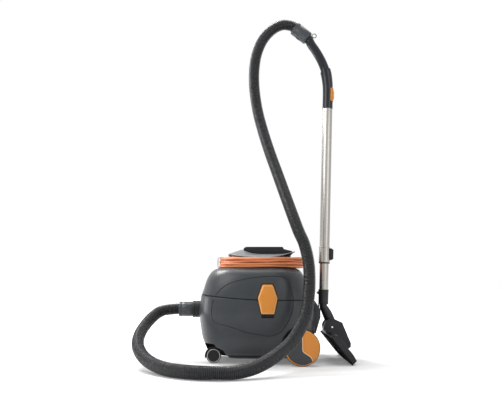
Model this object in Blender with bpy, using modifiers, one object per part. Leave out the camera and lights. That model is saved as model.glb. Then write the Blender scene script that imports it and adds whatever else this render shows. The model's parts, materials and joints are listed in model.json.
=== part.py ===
"""Canister vacuum cleaner with a docked telescopic wand, a hose and a wound mains cord.

Metres, +Z up. X runs from the hose inlet (-X) to the wand dock (+X), and Y = 0 is the plane of
symmetry of the machine. The floor is Z = 0.
"""

import math

import bmesh
import bpy
import numpy as np
from mathutils import Matrix, Vector

# ---------------------------------------------------------------- shared clearances
SEAT_GAP = 0.0003          # between pieces that touch
RUN_GAP = 0.0005           # round a piece that turns or slides
SWING_GAP = 0.0015         # round a piece that swings or presses
FLAT_ANGLE = 1.0           # faces this near to level with each other are one face

# ---------------------------------------------------------------- body shell
BODY_FRONT = -0.238        # furthest point of the tank towards the hose
BODY_REAR = 0.147          # furthest point of the tank towards the wand
BODY_MID = -0.046          # where the plan outline is widest
BODY_HALF_WIDTH = 0.165
BASE_HEIGHT = 0.030        # underside of the tank above the floor
PARTING_HEIGHT = 0.203     # hood and tank meet here, at the middle
DECK_HEIGHT = 0.305        # top of the hood, where the cord lies
PARTING_RISE = 0.018       # the parting line climbs this much at the front
SHELL_WALL = 0.0042
OUTLINE_POWER = 2.9        # squareness of the plan outline
OUTLINE_POINTS = 32
SEAL_HEIGHT = 0.0024
SEAL_WIDTH = 0.0030
SEAL_INSET = 0.0012

# Each section: share of the height, and insets from the front, the rear and the side.
TANK_SECTIONS = (
    (0.00, 0.042, 0.019, 0.031),
    (0.04, 0.030, 0.012, 0.022),
    (0.14, 0.0205, 0.006, 0.0125),
    (0.34, 0.0085, 0.001, 0.0045),
    (0.69, 0.0, 0.0, 0.0),
    (0.88, 0.0025, 0.004, 0.0006),
    (1.00, 0.0055, 0.009, 0.0020),
)
HOOD_SECTIONS = (
    (0.00, 0.0075, 0.0105, 0.0028),
    (0.30, 0.0150, 0.0170, 0.0060),
    (0.57, 0.0215, 0.0260, 0.0120),
    (0.79, 0.0325, 0.0370, 0.0220),
    (0.93, 0.0460, 0.0480, 0.0360),
    (1.00, 0.0640, 0.0620, 0.0530),
)

# ---------------------------------------------------------------- latches
LATCH_X = -0.0135
LATCH_TOP = 0.2510
LATCH_WAIST = 0.2079
LATCH_BOTTOM = 0.1593
LATCH_TOP_HALF = 0.0165
LATCH_WAIST_HALF = 0.0310
LATCH_BOTTOM_HALF = 0.0200
LATCH_PROUD = 0.0055
LATCH_BEVEL = 0.0040
LATCH_RECESS = 0.0025
LATCH_BACK_GAP = 0.0013    # between a latch and its seat
LATCH_PIN_RADIUS = 0.0018
LATCH_KNUCKLE = 0.0042
LATCH_PIN_DEPTH = 0.0045   # pin axis behind the side surface
LATCH_PIN_DROP = 0.0045    # pin axis below the top edge
LATCH_ROOM_SPARE = 0.0020  # room in the hood beside each end of the top edge
LATCH_TOP_SLOPE = 0.0043   # the top slopes down by this, so that it can swing in
SCOOP_HEIGHT = 0.0120      # finger gap under a latch
SCOOP_DEPTH = 0.0110

# ---------------------------------------------------------------- inlet and hose
INLET_HEIGHT = 0.168
INLET_REACH = 0.0250       # collar in front of the tank
INLET_RADIUS = 0.0275
INLET_INSIDE = 0.0130      # collar inside the tank
CUFF_RADIUS = 0.0245
CUFF_SLEEVE = 0.0460       # machine cuff in front of the collar
CUFF_PLUG = 0.0200         # machine cuff inside the collar
CUFF_AIRWAY = 0.0150
HOSE_RADIUS = 0.0190
HOSE_VALLEY = 0.0172
HOSE_BORE = 0.0138
HOSE_RIBS = 84
HOSE_SEAT = 0.0250         # hose inside each cuff
HANDLE_CUFF_LENGTH = 0.0620
HANDLE_CUFF_DIP = 40.0     # degrees below level
HANDLE_CUFF_MOUTH = (0.0935, 0.0, 1.1716)

# The hose's free run, from the machine cuff round the floor and up to the handle cuff.
HOSE_ROUTE = (
    (-0.366, -0.004, 0.162), (-0.391, -0.022, 0.146), (-0.412, -0.062, 0.119),
    (-0.421, -0.118, 0.091), (-0.413, -0.180, 0.065), (-0.386, -0.243, 0.042),
    (-0.348, -0.300, 0.0275), (-0.303, -0.352, 0.0208), (-0.255, -0.391, 0.0198),
    (-0.205, -0.414, 0.0197), (-0.157, -0.420, 0.0197), (-0.109, -0.412, 0.0199),
    (-0.059, -0.388, 0.0280), (-0.015, -0.357, 0.0450), (0.020, -0.325, 0.065),
    (0.053, -0.291, 0.090), (0.078, -0.262, 0.123), (0.097, -0.240, 0.159),
    (0.108, -0.221, 0.207), (0.1140, -0.204, 0.262), (0.1129, -0.190, 0.3213),
    (0.1018, -0.178, 0.3771), (0.0853, -0.168, 0.4182),
    (0.0672, -0.148, 0.4739), (0.0462, -0.116, 0.5432), (0.0228, -0.078, 0.6223),
    (-0.0008, -0.045, 0.7004), (-0.0237, -0.017, 0.7839), (-0.0422, 0.0, 0.8638),
    (-0.053, 0.004, 0.944), (-0.054, 0.003, 1.010), (-0.045, 0.001, 1.072),
    (-0.023, 0.0, 1.126), (0.010, 0.0, 1.165), (0.047, 0.0, 1.184),
)

# ---------------------------------------------------------------- dock
DOCK_HALF_WIDTH = 0.0200
DOCK_REACH = 0.0212        # behind the tank
DOCK_SHOULDER = 0.168
DOCK_WAIST = 0.141
DOCK_TOP = 0.1965
DOCK_FOOT = 0.0893
STUD_HEIGHT = 0.1694
STUD_HEAD_RADIUS = 0.0085
STUD_STEM_RADIUS = 0.0035
STUD_HEAD_THICK = 0.0035
STUD_WALL = 0.0040         # dock wall that the stud hooks behind

# ---------------------------------------------------------------- rear wheels and casters
WHEEL_X = 0.0925
WHEEL_RADIUS = 0.0565
WHEEL_OUTER = 0.1655       # outer face of the wheel from the middle
WHEEL_WIDTH = 0.0310
TYRE_DEPTH = 0.0058
CAP_RADIUS = 0.0545
CAP_THICK = 0.0040
CAP_RIM = 0.0045
INSERT_THICK = 0.0014
ARCH_RADIUS = 0.0655
ARCH_WALL = 0.0030
AXLE_RADIUS = 0.0050
AXLE_FLANGE = 0.0100
CASTER_X = -0.170
CASTER_Y = 0.078
CASTER_TRAIL = 0.016
CASTER_RADIUS = 0.024
CASTER_TREAD = 0.0085
CASTER_WEB = 0.0040
CASTER_AXLE = 0.0030
CASTER_STEM = 0.0040
CASTER_FENDER_GAP = 0.0022
CASTER_FENDER = 0.0026
CASTER_PLATE_TOP = 0.0605
CASTER_SOCKET = 0.0180
POCKET_TOP = 0.0640
POCKET_SWEEP_GAP = 0.0024
DOOR_TOP = 0.0535          # the tank's lower edge over each caster

# ---------------------------------------------------------------- handle rim, grip and cord
RIM_X = -0.0285
RIM_HALF_LENGTH = 0.1145
RIM_HALF_WIDTH = 0.0880
RIM_EDGE_HEIGHT = 0.3400   # top of the rim's edge at the sides
RIM_FRONT_LIFT = 0.0140
RIM_REAR_LIFT = 0.0240
RIM_INNER_HEIGHT = 0.3520
RIM_THICK = 0.0030
RIM_SKIRT_FRONT = 0.0050
RIM_SKIRT_REAR = 0.0018
WELL_X = -0.0105
WELL_HALF_LENGTH = 0.0780
WELL_HALF_WIDTH = 0.0500
NECK_WALL = 0.0035
NECK_FLARE = 0.0060
GRIP_HALF_WIDTH = 0.0150
GRIP_FRONT = -0.0965
GRIP_REAR = 0.0757
GRIP_TOP = RIM_INNER_HEIGHT + 0.0260
GRIP_UNDER = RIM_INNER_HEIGHT - 0.0025
CORD_RADIUS = 0.0039
CORD_PITCH = 0.0085
CORD_LAYERS = 4
CORD_TURNS = 3             # in each layer
CORD_POINTS = 24
CORD_X = -0.0300
CORD_INNER_LENGTH = 0.1205
CORD_INNER_WIDTH = 0.0905
CORD_POWER = 2.6
CORD_START = 50.0          # degrees round the coil where the first turn starts
CORD_SHORT = 11            # points by which the last turn is cut short
GLAND_LENGTH = 0.0260
GLAND_SHARE = 0.366          # of the height between the deck and the rim's neck
GLAND_WIDTH = 0.0135
GLAND_MOUTH_X = -0.0120
GLAND_MOUTH_Y = 0.0725
RELIEF_LENGTH = 0.0240
RELIEF_RADIUS = 0.0066
PLUG_X = -0.1240
PLUG_Y = -0.0060
PLUG_RADIUS = 0.0160
PLUG_LENGTH = 0.0380
PIN_RADIUS = 0.0024
PIN_LENGTH = 0.0190
PIN_SPACING = 0.0190

# ---------------------------------------------------------------- inside the machine
CARRIER_THICK = 0.0040
CARRIER_HEIGHT = 0.2260    # underside of the motor carrier
CARRIER_INTAKE = 0.0300
MOTOR_X = -0.0300
MOTOR_RADIUS = 0.0480
MOTOR_HEIGHT = 0.0640
MOTOR_WALL = 0.0025
SHAFT_RADIUS = 0.0040
FAN_RADIUS = 0.0400
FAN_THICK = 0.0120
ROTOR_RADIUS = 0.0260
ROTOR_LENGTH = 0.0220
BASKET_RADIUS = 0.0850
BASKET_DEPTH = 0.0600
BASKET_WALL = 0.0030
EXHAUST_LENGTH = 0.0200
EXHAUST_HALF_WIDTH = 0.0550
EXHAUST_HEIGHT = 0.0420
EXHAUST_X = 0.0600
BAG_HALF_LENGTH = 0.1300
BAG_HALF_WIDTH = 0.1080
BAG_TOP = 0.1500
BAG_X = -0.0660
COLLAR_PLATE = 0.0025
COLLAR_PLATE_HALF = 0.0360
BUTTON_RADIUS = 0.0130
BUTTON_LENGTH = 0.0090
BUTTON_TRAVEL = 0.0030
BUTTON_Y = 0.0600
BUTTON_HEIGHT = 0.2480
SWITCH_SIZE = 0.0160

# ---------------------------------------------------------------- wand, in its own frame
WAND_FOOT = (0.1803, 0.0, 0.1845)  # on the wand's axis, at the foot of the nozzle socket
WAND_LEAN = 2.25           # degrees back from upright
OUTER_TUBE_RADIUS = 0.0170
OUTER_TUBE_WALL = 0.0012
INNER_TUBE_RADIUS = 0.01525
INNER_TUBE_WALL = 0.0010
INNER_TUBE_FOOT = 0.0106
INNER_TUBE_TOP = 0.4900
OUTER_TUBE_FOOT = 0.1500
OUTER_TUBE_TOP = 0.6850
CLUTCH_FOOT = 0.1370
CLUTCH_TOP = 0.1935
CLUTCH_FOOT_RADIUS = 0.0190
CLUTCH_TOP_RADIUS = 0.0184
RELEASE_FOOT = 0.1520
RELEASE_TOP = 0.1870
RELEASE_HALF_WIDTH = 0.0070
RELEASE_REACH = 0.0305
RELEASE_TRAVEL = 0.0025
SOCKET_TOP = 0.0490
SOCKET_RADIUS = 0.0172
SOCKET_DEPTH = 0.0102
SOCKET_AIRWAY = 0.0132
HANDLE_RADIUS = 0.0172
HANDLE_NECK_RADIUS = 0.0160
HANDLE_BORE = 0.0125
SPIGOT_LENGTH = 0.0250
SLIDER_FOOT = 0.7110
SLIDER_TOP = 0.7610
SLIDER_HALF_WIDTH = 0.0100
SLIDER_PROUD = 0.0055
EYE_RADIUS = 0.0075
EYE_WIRE = 0.0014
EYE_SINK = 0.0005          # the handle curves away under the eye

# The handle's centre line above the steel tube, from its straight foot to the swivel cuff.
HANDLE_ROUTE = (
    (0.2086, 0.9050), (0.2096, 0.9400), (0.2082, 0.9720), (0.2035, 1.0040),
    (0.1945, 1.0330), (0.1825, 1.0600), (0.1680, 1.0860), (0.1525, 1.1100),
)

# ---------------------------------------------------------------- nozzle
TILT_CENTRE = (0.2050, 0.0, 0.1095)
HEAD_PITCH = 50.9          # degrees that the head hangs nose down
HEAD_HALF_WIDTH = 0.1450
HEAD_NOSE = 0.1136
HEAD_TAIL = 0.0085
SOLE_HEIGHT = -0.0338      # sole below the tilt axis
SOLE_THICK = 0.0050
COVER_TAIL = 0.0090
COVER_TOP = -0.0100
NOSE_HEIGHT = 0.0200
SLOT_FRONT = 0.0900
SLOT_BACK = 0.0700
SLOT_HALF_WIDTH = 0.1150
BRUSH_WIDTH = 0.0040
BRUSH_TRAVEL = 0.0040
BARREL_RADIUS = 0.0240
BARREL_HALF_WIDTH = 0.0240
CHEEK = 0.0065
ELBOW_RADIUS = 0.0165
ELBOW_BORE = 0.0100
TILT_PIN_RADIUS = 0.0030
TILT_PIN_DEPTH = 0.0100    # of each trunnion in the barrel
PEDAL_Y = 0.0480
PEDAL_WIDTH = 0.0500
PEDAL_BACK = 0.0280
PEDAL_FRONT = 0.0620
PEDAL_THICK = 0.0060
PEDAL_SWING = 7.0


# ---------------------------------------------------------------- scene helpers
def clear_scene():
    for obj in list(bpy.data.objects):
        bpy.data.objects.remove(obj, do_unlink=True)


def new_collection(name):
    collection = bpy.data.collections.new(name)
    bpy.context.scene.collection.children.link(collection)
    return collection


def material(name, colour, roughness, metallic=0.0):
    made = bpy.data.materials.new(name)
    made.use_nodes = True
    shader = made.node_tree.nodes["Principled BSDF"]
    shader.inputs["Base Color"].default_value = (*colour, 1.0)
    shader.inputs["Roughness"].default_value = roughness
    shader.inputs["Metallic"].default_value = metallic
    made.diffuse_color = (*colour, 1.0)
    return made


def frame_empty(name, location, rotation=(0.0, 0.0, 0.0)):
    """An empty that carries pieces built in their own frame."""
    empty = bpy.data.objects.new(name, None)
    empty.location = location
    empty.rotation_euler = rotation
    PARTS.objects.link(empty)
    return empty


def link(obj, finish=None, parent=None, helper=False):
    (HELPERS if helper else PARTS).objects.link(obj)
    if helper:
        obj.hide_render = True
        obj.display_type = "WIRE"
    if finish:
        obj.data.materials.append(finish)
    if parent:
        obj.parent = parent
    return obj


def mesh_object(name, vertices, faces, finish=None, parent=None, helper=False, smooth=30.0):
    mesh = bpy.data.meshes.new(name)
    shape = bmesh.new()
    corners = [shape.verts.new(v) for v in vertices]
    for face in faces:
        shape.faces.new([corners[i] for i in face])
    bmesh.ops.recalc_face_normals(shape, faces=shape.faces)
    bent = [face for face in shape.faces if len(face.verts) == 4]
    bmesh.ops.triangulate(shape, faces=bent)
    shape.to_mesh(mesh)
    shape.free()
    mesh.shade_smooth()
    mesh.set_sharp_from_angle(angle=math.radians(smooth))
    return link(bpy.data.objects.new(name, mesh), finish, parent, helper)


def strip_cap(ring, from_tip):
    """Faces across a ring, between points that mirror each other.

    A ring either starts on its tip or half a step beside it.
    """
    half = len(ring) // 2
    if from_tip:
        near, far = ring[:half + 1], [ring[0]] + ring[:half - 1:-1]
    else:
        near, far = ring[:half], ring[:half - 1:-1]
    faces = []
    for k in range(len(near) - 1):
        corners = [near[k], near[k + 1], far[k + 1], far[k]]
        faces.append(tuple(dict.fromkeys(corners)))
    return faces


def loft(name, rings, finish=None, parent=None, helper=False, ring_of_rings=False, from_tip=True):
    """Joins rings of equal count. The ends are capped, or the last ring joins the first."""
    count = len(rings[0])
    vertices = [point for ring in rings for point in ring]
    faces = []
    spans = len(rings) if ring_of_rings else len(rings) - 1
    for span in range(spans):
        low = span * count
        high = (span + 1) % len(rings) * count
        for i in range(count):
            j = (i + 1) % count
            faces.append((low + i, low + j, high + j, high + i))
    if not ring_of_rings:
        faces += strip_cap(list(range(count)), from_tip)
        faces += strip_cap(list(range(len(vertices) - count, len(vertices))), from_tip)
    return mesh_object(name, vertices, faces, finish, parent, helper)


def box(name, low, high, finish=None, parent=None, helper=False, bevel=0.0):
    shape = bmesh.new()
    bmesh.ops.create_cube(shape, size=1.0)
    low, high = Vector(low), Vector(high)
    for corner in shape.verts:
        share = corner.co + Vector((0.5, 0.5, 0.5))
        corner.co = [a + (b - a) * s for a, b, s in zip(low, high, share)]
    mesh = bpy.data.meshes.new(name)
    shape.to_mesh(mesh)
    shape.free()
    obj = link(bpy.data.objects.new(name, mesh), finish, parent, helper)
    if bevel:
        round_edges(obj, bevel)
    return obj


def round_edges(obj, width, segments=2, angle=40.0):
    edge = obj.modifiers.new("edges", "BEVEL")
    edge.width = width
    edge.segments = segments
    edge.limit_method = "ANGLE"
    edge.angle_limit = math.radians(angle)
    edge.use_clamp_overlap = True


AXIS_TURN = {"Z": (0.0, 0.0, 0.0), "X": (0.0, math.radians(90), 0.0),
             "Y": (math.radians(-90), 0.0, 0.0)}


def turned(name, profile, finish=None, parent=None, helper=False, axis="Z",
           at=(0.0, 0.0, 0.0), steps=20, bored=False, turn=None, start=0.0):
    """A profile of (radius, height) from the top down its outer side, turned round its axis.

    A bored profile closes on itself; any other starts and ends on the axis. The start angle in
    degrees keeps a cutter's corners off those of the piece that it cuts.
    """
    c, s = math.cos(math.radians(start)), math.sin(math.radians(start))
    mesh = bpy.data.meshes.new(name)
    edges = [(i, i + 1) for i in range(len(profile) - 1)]
    if bored:
        edges.append((len(profile) - 1, 0))
    mesh.from_pydata([(r * c, r * s, z) for r, z in profile], edges, [])
    obj = link(bpy.data.objects.new(name, mesh), finish, parent, helper)
    obj.location = at
    obj.rotation_euler = turn or AXIS_TURN[axis]
    screw = obj.modifiers.new("turn", "SCREW")
    screw.steps = steps
    screw.render_steps = steps
    screw.use_merge_vertices = True
    screw.merge_threshold = 0.00001
    screw.use_smooth_shade = True
    return obj


def rod(name, radius, low, high, **options):
    """A plain cylinder from one height to another along its axis."""
    return turned(name, [(0.0, high), (radius, high), (radius, low), (0.0, low)], **options)


def ring(name, inner, outer, low, high, **options):
    profile = [(outer, high), (outer, low), (inner, low), (inner, high)]
    return turned(name, profile, bored=True, **options)


def plate(name, outline, half_thick, finish=None, parent=None, helper=False,
          at=(0.0, 0.0, 0.0), turn=(math.radians(90), 0.0, 0.0), bevel=0.0):
    """A flat outline with thickness. By default it stands in X and Z, with its thickness along Y."""
    curve = bpy.data.curves.new(name, "CURVE")
    curve.dimensions = "2D"
    curve.fill_mode = "BOTH"
    curve.extrude = half_thick
    spline = curve.splines.new("POLY")
    spline.points.add(len(outline) - 1)
    for point, (a, b) in zip(spline.points, outline):
        point.co = (a, b, 0.0, 1.0)
    spline.use_cyclic_u = True
    obj = bpy.data.objects.new(name, curve)
    PARTS.objects.link(obj)
    obj.location = at
    obj.rotation_euler = turn
    made = curve_to_mesh(obj, name, finish, parent, helper)
    if bevel:
        round_edges(made, bevel)
    return made


def curve_to_mesh(obj, name, finish, parent, helper):
    """Replaces a curve by its mesh, with the loose caps welded on."""
    bpy.context.view_layer.update()
    evaluated = obj.evaluated_get(bpy.context.evaluated_depsgraph_get())
    mesh = bpy.data.meshes.new_from_object(evaluated)
    mesh.transform(obj.matrix_world)
    shape = bmesh.new()
    shape.from_mesh(mesh)
    bmesh.ops.remove_doubles(shape, verts=shape.verts, dist=0.00001)
    bmesh.ops.recalc_face_normals(shape, faces=shape.faces)
    shape.to_mesh(mesh)
    shape.free()
    mesh.name = name
    bpy.data.objects.remove(obj, do_unlink=True)
    mesh.shade_smooth()
    mesh.set_sharp_from_angle(angle=math.radians(35))
    return link(bpy.data.objects.new(name, mesh), finish, parent, helper)


def tube(name, points, radii, finish=None, parent=None, helper=False, sides=2):
    """A round tube along points, with a radius for each; sides is the bevel resolution."""
    curve = bpy.data.curves.new(name, "CURVE")
    curve.dimensions = "3D"
    curve.twist_mode = "MINIMUM"
    curve.use_fill_caps = True
    curve.bevel_depth = 1.0
    curve.bevel_resolution = sides
    curve.resolution_u = 1
    spline = curve.splines.new("POLY")
    spline.points.add(len(points) - 1)
    for knot, place, radius in zip(spline.points, points, radii):
        knot.co = (*place, 1.0)
        knot.radius = radius
    obj = bpy.data.objects.new(name, curve)
    PARTS.objects.link(obj)
    return curve_to_mesh(obj, name, finish, parent, helper)


def split_faces(obj):
    """Triangles are level; larger faces can be slightly bent, which upsets a Boolean."""
    kinds = [step.type for step in obj.modifiers]
    if "TRIANGULATE" not in kinds and "BOOLEAN" not in kinds:
        obj.modifiers.new("triangles", "TRIANGULATE")


def combine(obj, other, operation):
    split_faces(obj)
    split_faces(other)
    step = obj.modifiers.new(other.name, "BOOLEAN")
    step.operation = operation
    step.solver = "EXACT"
    step.object = other


def cut(obj, *cutters):
    for cutter in cutters:
        combine(obj, cutter, "DIFFERENCE")


def add(obj, *others):
    for other in others:
        combine(obj, other, "UNION")


# ---------------------------------------------------------------- curves and outlines
def smooth_path(knots, step):
    """Points every step along a smooth curve through the knots."""
    knots = np.array(knots, float)
    ends = np.vstack([2 * knots[0] - knots[1], knots, 2 * knots[-1] - knots[-2]])
    dense = []
    for a, b, c, d in zip(ends, ends[1:], ends[2:], ends[3:]):
        for t in np.linspace(0.0, 1.0, 24, endpoint=False):
            dense.append(0.5 * (2 * b + (c - a) * t + (2 * a - 5 * b + 4 * c - d) * t * t
                                + (3 * b - a - 3 * c + d) * t ** 3))
    dense.append(knots[-1])
    dense = np.array(dense)
    along = np.concatenate([[0.0], np.cumsum(np.linalg.norm(np.diff(dense, axis=0), axis=1))])
    count = max(2, round(along[-1] / step) + 1)
    wanted = np.linspace(0.0, along[-1], count)
    return np.column_stack([np.interp(wanted, along, dense[:, k]) for k in range(3)])


def plan_outline(front, rear, half_width, mid, power, count):
    """Points round a squarish oval from its front, as (x, y); closer together on the corners."""
    angles = np.linspace(math.pi, 0.0, 721)
    c, s = np.cos(angles), np.sin(angles)
    length = np.where(c < 0, mid - front, rear - mid)
    x = mid + length * np.sign(c) * np.abs(c) ** (2 / power)
    y = half_width * np.abs(s) ** (2 / power)
    step = np.hypot(np.diff(x), np.diff(y))
    heading = np.unwrap(np.arctan2(np.diff(y), np.diff(x)))
    turning = np.abs(np.diff(heading, prepend=heading[0]))
    effort = step / step.sum() + turning / turning.sum()
    along = np.concatenate([[0.0], np.cumsum(effort)])
    wanted = np.linspace(0.0, along[-1], count // 2 + 1)
    half = list(zip(np.interp(wanted, along, x), np.interp(wanted, along, y)))
    half[0], half[-1] = (front, 0.0), (rear, 0.0)
    return half + [(px, -py) for px, py in half[-2:0:-1]]


def parting_at(x):
    """Height of the line where hood and tank meet."""
    forward = min(1.0, max(0.0, (0.05 - x) / (0.05 - BODY_FRONT)))
    return PARTING_HEIGHT - 0.002 + PARTING_RISE * forward ** 2


def insets_at(sections, share):
    shares = [row[0] for row in sections]
    return [float(np.interp(share, shares, [row[k] for row in sections])) for k in (1, 2, 3)]


def tank_span():
    return BASE_HEIGHT, PARTING_HEIGHT - BASE_HEIGHT


def hood_span():
    return PARTING_HEIGHT, DECK_HEIGHT - PARTING_HEIGHT


def shell_ring(sections, span, share, inset=0.0, lift=0.0):
    """One ring of the body shell, drawn in by inset; near the parting it follows that line."""
    front, rear, side = insets_at(sections, share)
    outline = plan_outline(BODY_FRONT + front + inset, BODY_REAR - rear - inset,
                           BODY_HALF_WIDTH - side - inset, BODY_MID, OUTLINE_POWER,
                           OUTLINE_POINTS)
    height = span[0] + span[1] * share
    near = max(0.0, 1.0 - abs(height - PARTING_HEIGHT) / 0.055)
    return [(x, y, height + lift + near * (parting_at(x) - PARTING_HEIGHT)) for x, y in outline]


def side_at(x, height):
    """Half width of the body shell at a place on its side."""
    if height < PARTING_HEIGHT:
        base, rise = tank_span()
        front, rear, side = insets_at(TANK_SECTIONS, (height - base) / rise)
    else:
        base, rise = hood_span()
        front, rear, side = insets_at(HOOD_SECTIONS, (height - base) / rise)
    length = BODY_MID - BODY_FRONT - front if x < BODY_MID else BODY_REAR - rear - BODY_MID
    share = min(0.999, abs(x - BODY_MID) / length)
    return (BODY_HALF_WIDTH - side) * (1 - share ** OUTLINE_POWER) ** (1 / OUTLINE_POWER)


def front_at(height):
    base, rise = tank_span()
    return BODY_FRONT + insets_at(TANK_SECTIONS, (height - base) / rise)[0]


def rear_at(height):
    base, rise = tank_span()
    share = min(1.0, (height - base) / rise)
    return BODY_REAR - insets_at(TANK_SECTIONS, share)[1]


def latch_outline(grow, side, drop=0.0):
    """Points round the latch's six-sided face, as (x, height), grown by a margin."""
    rows = ((LATCH_TOP + grow - drop, LATCH_TOP_HALF + grow * 0.8),
            ((LATCH_TOP + LATCH_WAIST) / 2, (LATCH_TOP_HALF + LATCH_WAIST_HALF) / 2 + grow),
            (LATCH_WAIST, LATCH_WAIST_HALF + grow),
            ((LATCH_BOTTOM + LATCH_WAIST) / 2, (LATCH_BOTTOM_HALF + LATCH_WAIST_HALF) / 2 + grow),
            (LATCH_BOTTOM - grow, LATCH_BOTTOM_HALF + grow * 0.8))
    right = [(LATCH_X + half * side, height) for height, half in rows]
    left = [(LATCH_X - half * side, height) for height, half in reversed(rows)]
    return right + left


# ---------------------------------------------------------------- finishes
def make_finishes():
    return {
        "shell": material("anthracite_shell", (0.055, 0.062, 0.066), 0.42),
        "trim": material("orange_trim", (0.70, 0.23, 0.05), 0.38),
        "cord": material("orange_cord", (0.72, 0.22, 0.08), 0.50),
        "rim": material("silver_rim", (0.42, 0.43, 0.45), 0.32, 0.55),
        "black": material("black_plastic", (0.020, 0.021, 0.023), 0.45),
        "grip": material("soft_grip", (0.030, 0.033, 0.036), 0.70),
        "hose": material("hose_plastic", (0.022, 0.023, 0.025), 0.45),
        "rubber": material("rubber", (0.020, 0.020, 0.021), 0.80),
        "steel": material("steel_tube", (0.56, 0.53, 0.50), 0.28, 1.0),
        "chrome": material("chrome", (0.80, 0.80, 0.80), 0.10, 1.0),
        "insert": material("grey_insert", (0.075, 0.080, 0.090), 0.50),
        "paper": material("fleece", (0.70, 0.70, 0.66), 0.95),
        "handle": material("handle_plastic", (0.024, 0.028, 0.036), 0.28),
        "dock": material("dock_grey", (0.20, 0.22, 0.24), 0.45),
        "nozzle": material("nozzle_plastic", (0.030, 0.031, 0.034), 0.42),
        "bristle": material("bristle", (0.035, 0.033, 0.032), 0.85),
        "motor": material("motor_can", (0.45, 0.46, 0.47), 0.45, 0.9),
    }


# ---------------------------------------------------------------- tank
def caster_side(side):
    return CASTER_X, side * CASTER_Y


def pocket_radius():
    return CASTER_TRAIL + CASTER_RADIUS + CASTER_FENDER_GAP + CASTER_FENDER + POCKET_SWEEP_GAP


def arch_inner():
    """The wall inside a wheel arch, from the middle."""
    return WHEEL_OUTER - WHEEL_WIDTH - 0.0035


def scoop_box(side, grow, name):
    """The finger gap under a latch, or the moulding round it."""
    top = LATCH_BOTTOM - SWING_GAP + 0.0005
    surface = side_at(LATCH_X, LATCH_BOTTOM - SCOOP_HEIGHT)
    low = (LATCH_X - LATCH_BOTTOM_HALF - grow, surface - SCOOP_DEPTH - grow,
           LATCH_BOTTOM - SCOOP_HEIGHT - grow)
    high = (LATCH_X + LATCH_BOTTOM_HALF + grow, surface + 0.02, top + grow)
    if side < 0:
        low, high = (low[0], -high[1], low[2]), (high[0], -low[1], high[2])
    return box(name, low, high, helper=True)


def latch_cutter(side, name):
    """The shallow seat that a latch lies in."""
    outline = latch_outline(SWING_GAP, 1.0)
    deep = [(x, side * (side_at(x, z) - LATCH_RECESS), z) for x, z in outline]
    proud = [(x, side * (side_at(x, z) + 0.02), z) for x, z in outline]
    return loft(name, [deep, proud], helper=True, from_tip=False)


def door_outline(grow):
    """The opening over a caster, as (x, height): level at the front, sloping down at the back."""
    return [(BODY_FRONT - 0.02, -0.02), (BODY_FRONT - 0.02, DOOR_TOP + grow),
            (-0.176, DOOR_TOP + grow), (-0.160 + grow, DOOR_TOP - 0.006 + grow),
            (-0.148 + grow, BASE_HEIGHT + 0.004), (-0.143 + grow, -0.02)]


def pocket_pieces(side, grow, kind):
    """The room for one caster, its doorway, and the wheel arch on the same side."""
    hand = "left" if side < 0 else "right"
    x, y = caster_side(side)
    wide, narrow = pocket_radius() + grow, CASTER_STEM + SEAT_GAP + grow
    ceiling, top = POCKET_TOP + grow, POCKET_TOP + CASTER_SOCKET + grow
    room = turned(f"{kind}_pocket_{hand}",
                  [(0.0, top), (narrow, top), (narrow, ceiling), (wide, ceiling), (wide, -0.02),
                   (0.0, -0.02)], at=(x, y, 0.0), steps=18 if kind == "room" else 12, helper=True)
    reach = 0.065 - grow
    door = plate(f"{kind}_door_{hand}", door_outline(grow), (0.25 - reach) / 2, helper=True)
    door.location = (0.0, side * (0.25 + reach) / 2, 0.0)
    arch = rod(f"{kind}_arch_{hand}", ARCH_RADIUS + grow, arch_inner() - grow, 0.25,
               at=(WHEEL_X, 0.0, WHEEL_RADIUS), steps=20 if kind == "room" else 14, helper=True,
               turn=(math.radians(-90) * side, 0.0, 0.0))
    return room, door, arch, scoop_box(side, grow, f"{kind}_scoop_{hand}")


def tank(finish):
    """A cup with pockets for the casters, arches for the wheels and a hole for the inlet."""
    span = tank_span()
    drop = -SEAL_HEIGHT / 2 - SEAT_GAP
    outer = [shell_ring(TANK_SECTIONS, span, row[0], lift=drop * (row[0] == 1.0))
             for row in TANK_SECTIONS]
    shares = [SHELL_WALL / span[1], 0.14, 0.34, 0.69, 1.0]
    inner = [shell_ring(TANK_SECTIONS, span, share, SHELL_WALL, 0.02 * (share == 1.0))
             for share in shares]
    shell = loft("tank", outer, finish)
    cavity = loft("tank_cavity", inner, helper=True)
    for side in (-1, 1):
        cut(cavity, *pocket_pieces(side, ARCH_WALL, "wall"))
    cut(shell, cavity)
    for side in (-1, 1):
        hand = "left" if side < 0 else "right"
        cut(shell, *pocket_pieces(side, 0.0, "room"),
            latch_cutter(side, f"tank_latch_seat_{hand}"))
    inlet = rod("inlet_hole", INLET_RADIUS + SEAT_GAP, BODY_FRONT - 0.02, BODY_FRONT + 0.03,
                at=(0.0, 0.0, INLET_HEIGHT), axis="X", helper=True)
    cut(shell, inlet)
    return shell


def tank_seal(finish):
    """The rubber ring in the joint between tank and hood."""
    span = tank_span()
    levels = ((SEAL_INSET, -SEAL_HEIGHT / 2), (SEAL_INSET, SEAL_HEIGHT / 2),
              (SEAL_INSET + SEAL_WIDTH, SEAL_HEIGHT / 2), (SEAL_INSET + SEAL_WIDTH, -SEAL_HEIGHT / 2))
    rings = [shell_ring(TANK_SECTIONS, span, 1.0, inset, lift) for inset, lift in levels]
    seal = loft("tank_seal", rings, finish, ring_of_rings=True)
    cut(seal, latch_cutter(-1, "seal_latch_seat_left"), latch_cutter(1, "seal_latch_seat_right"))
    return seal


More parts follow.
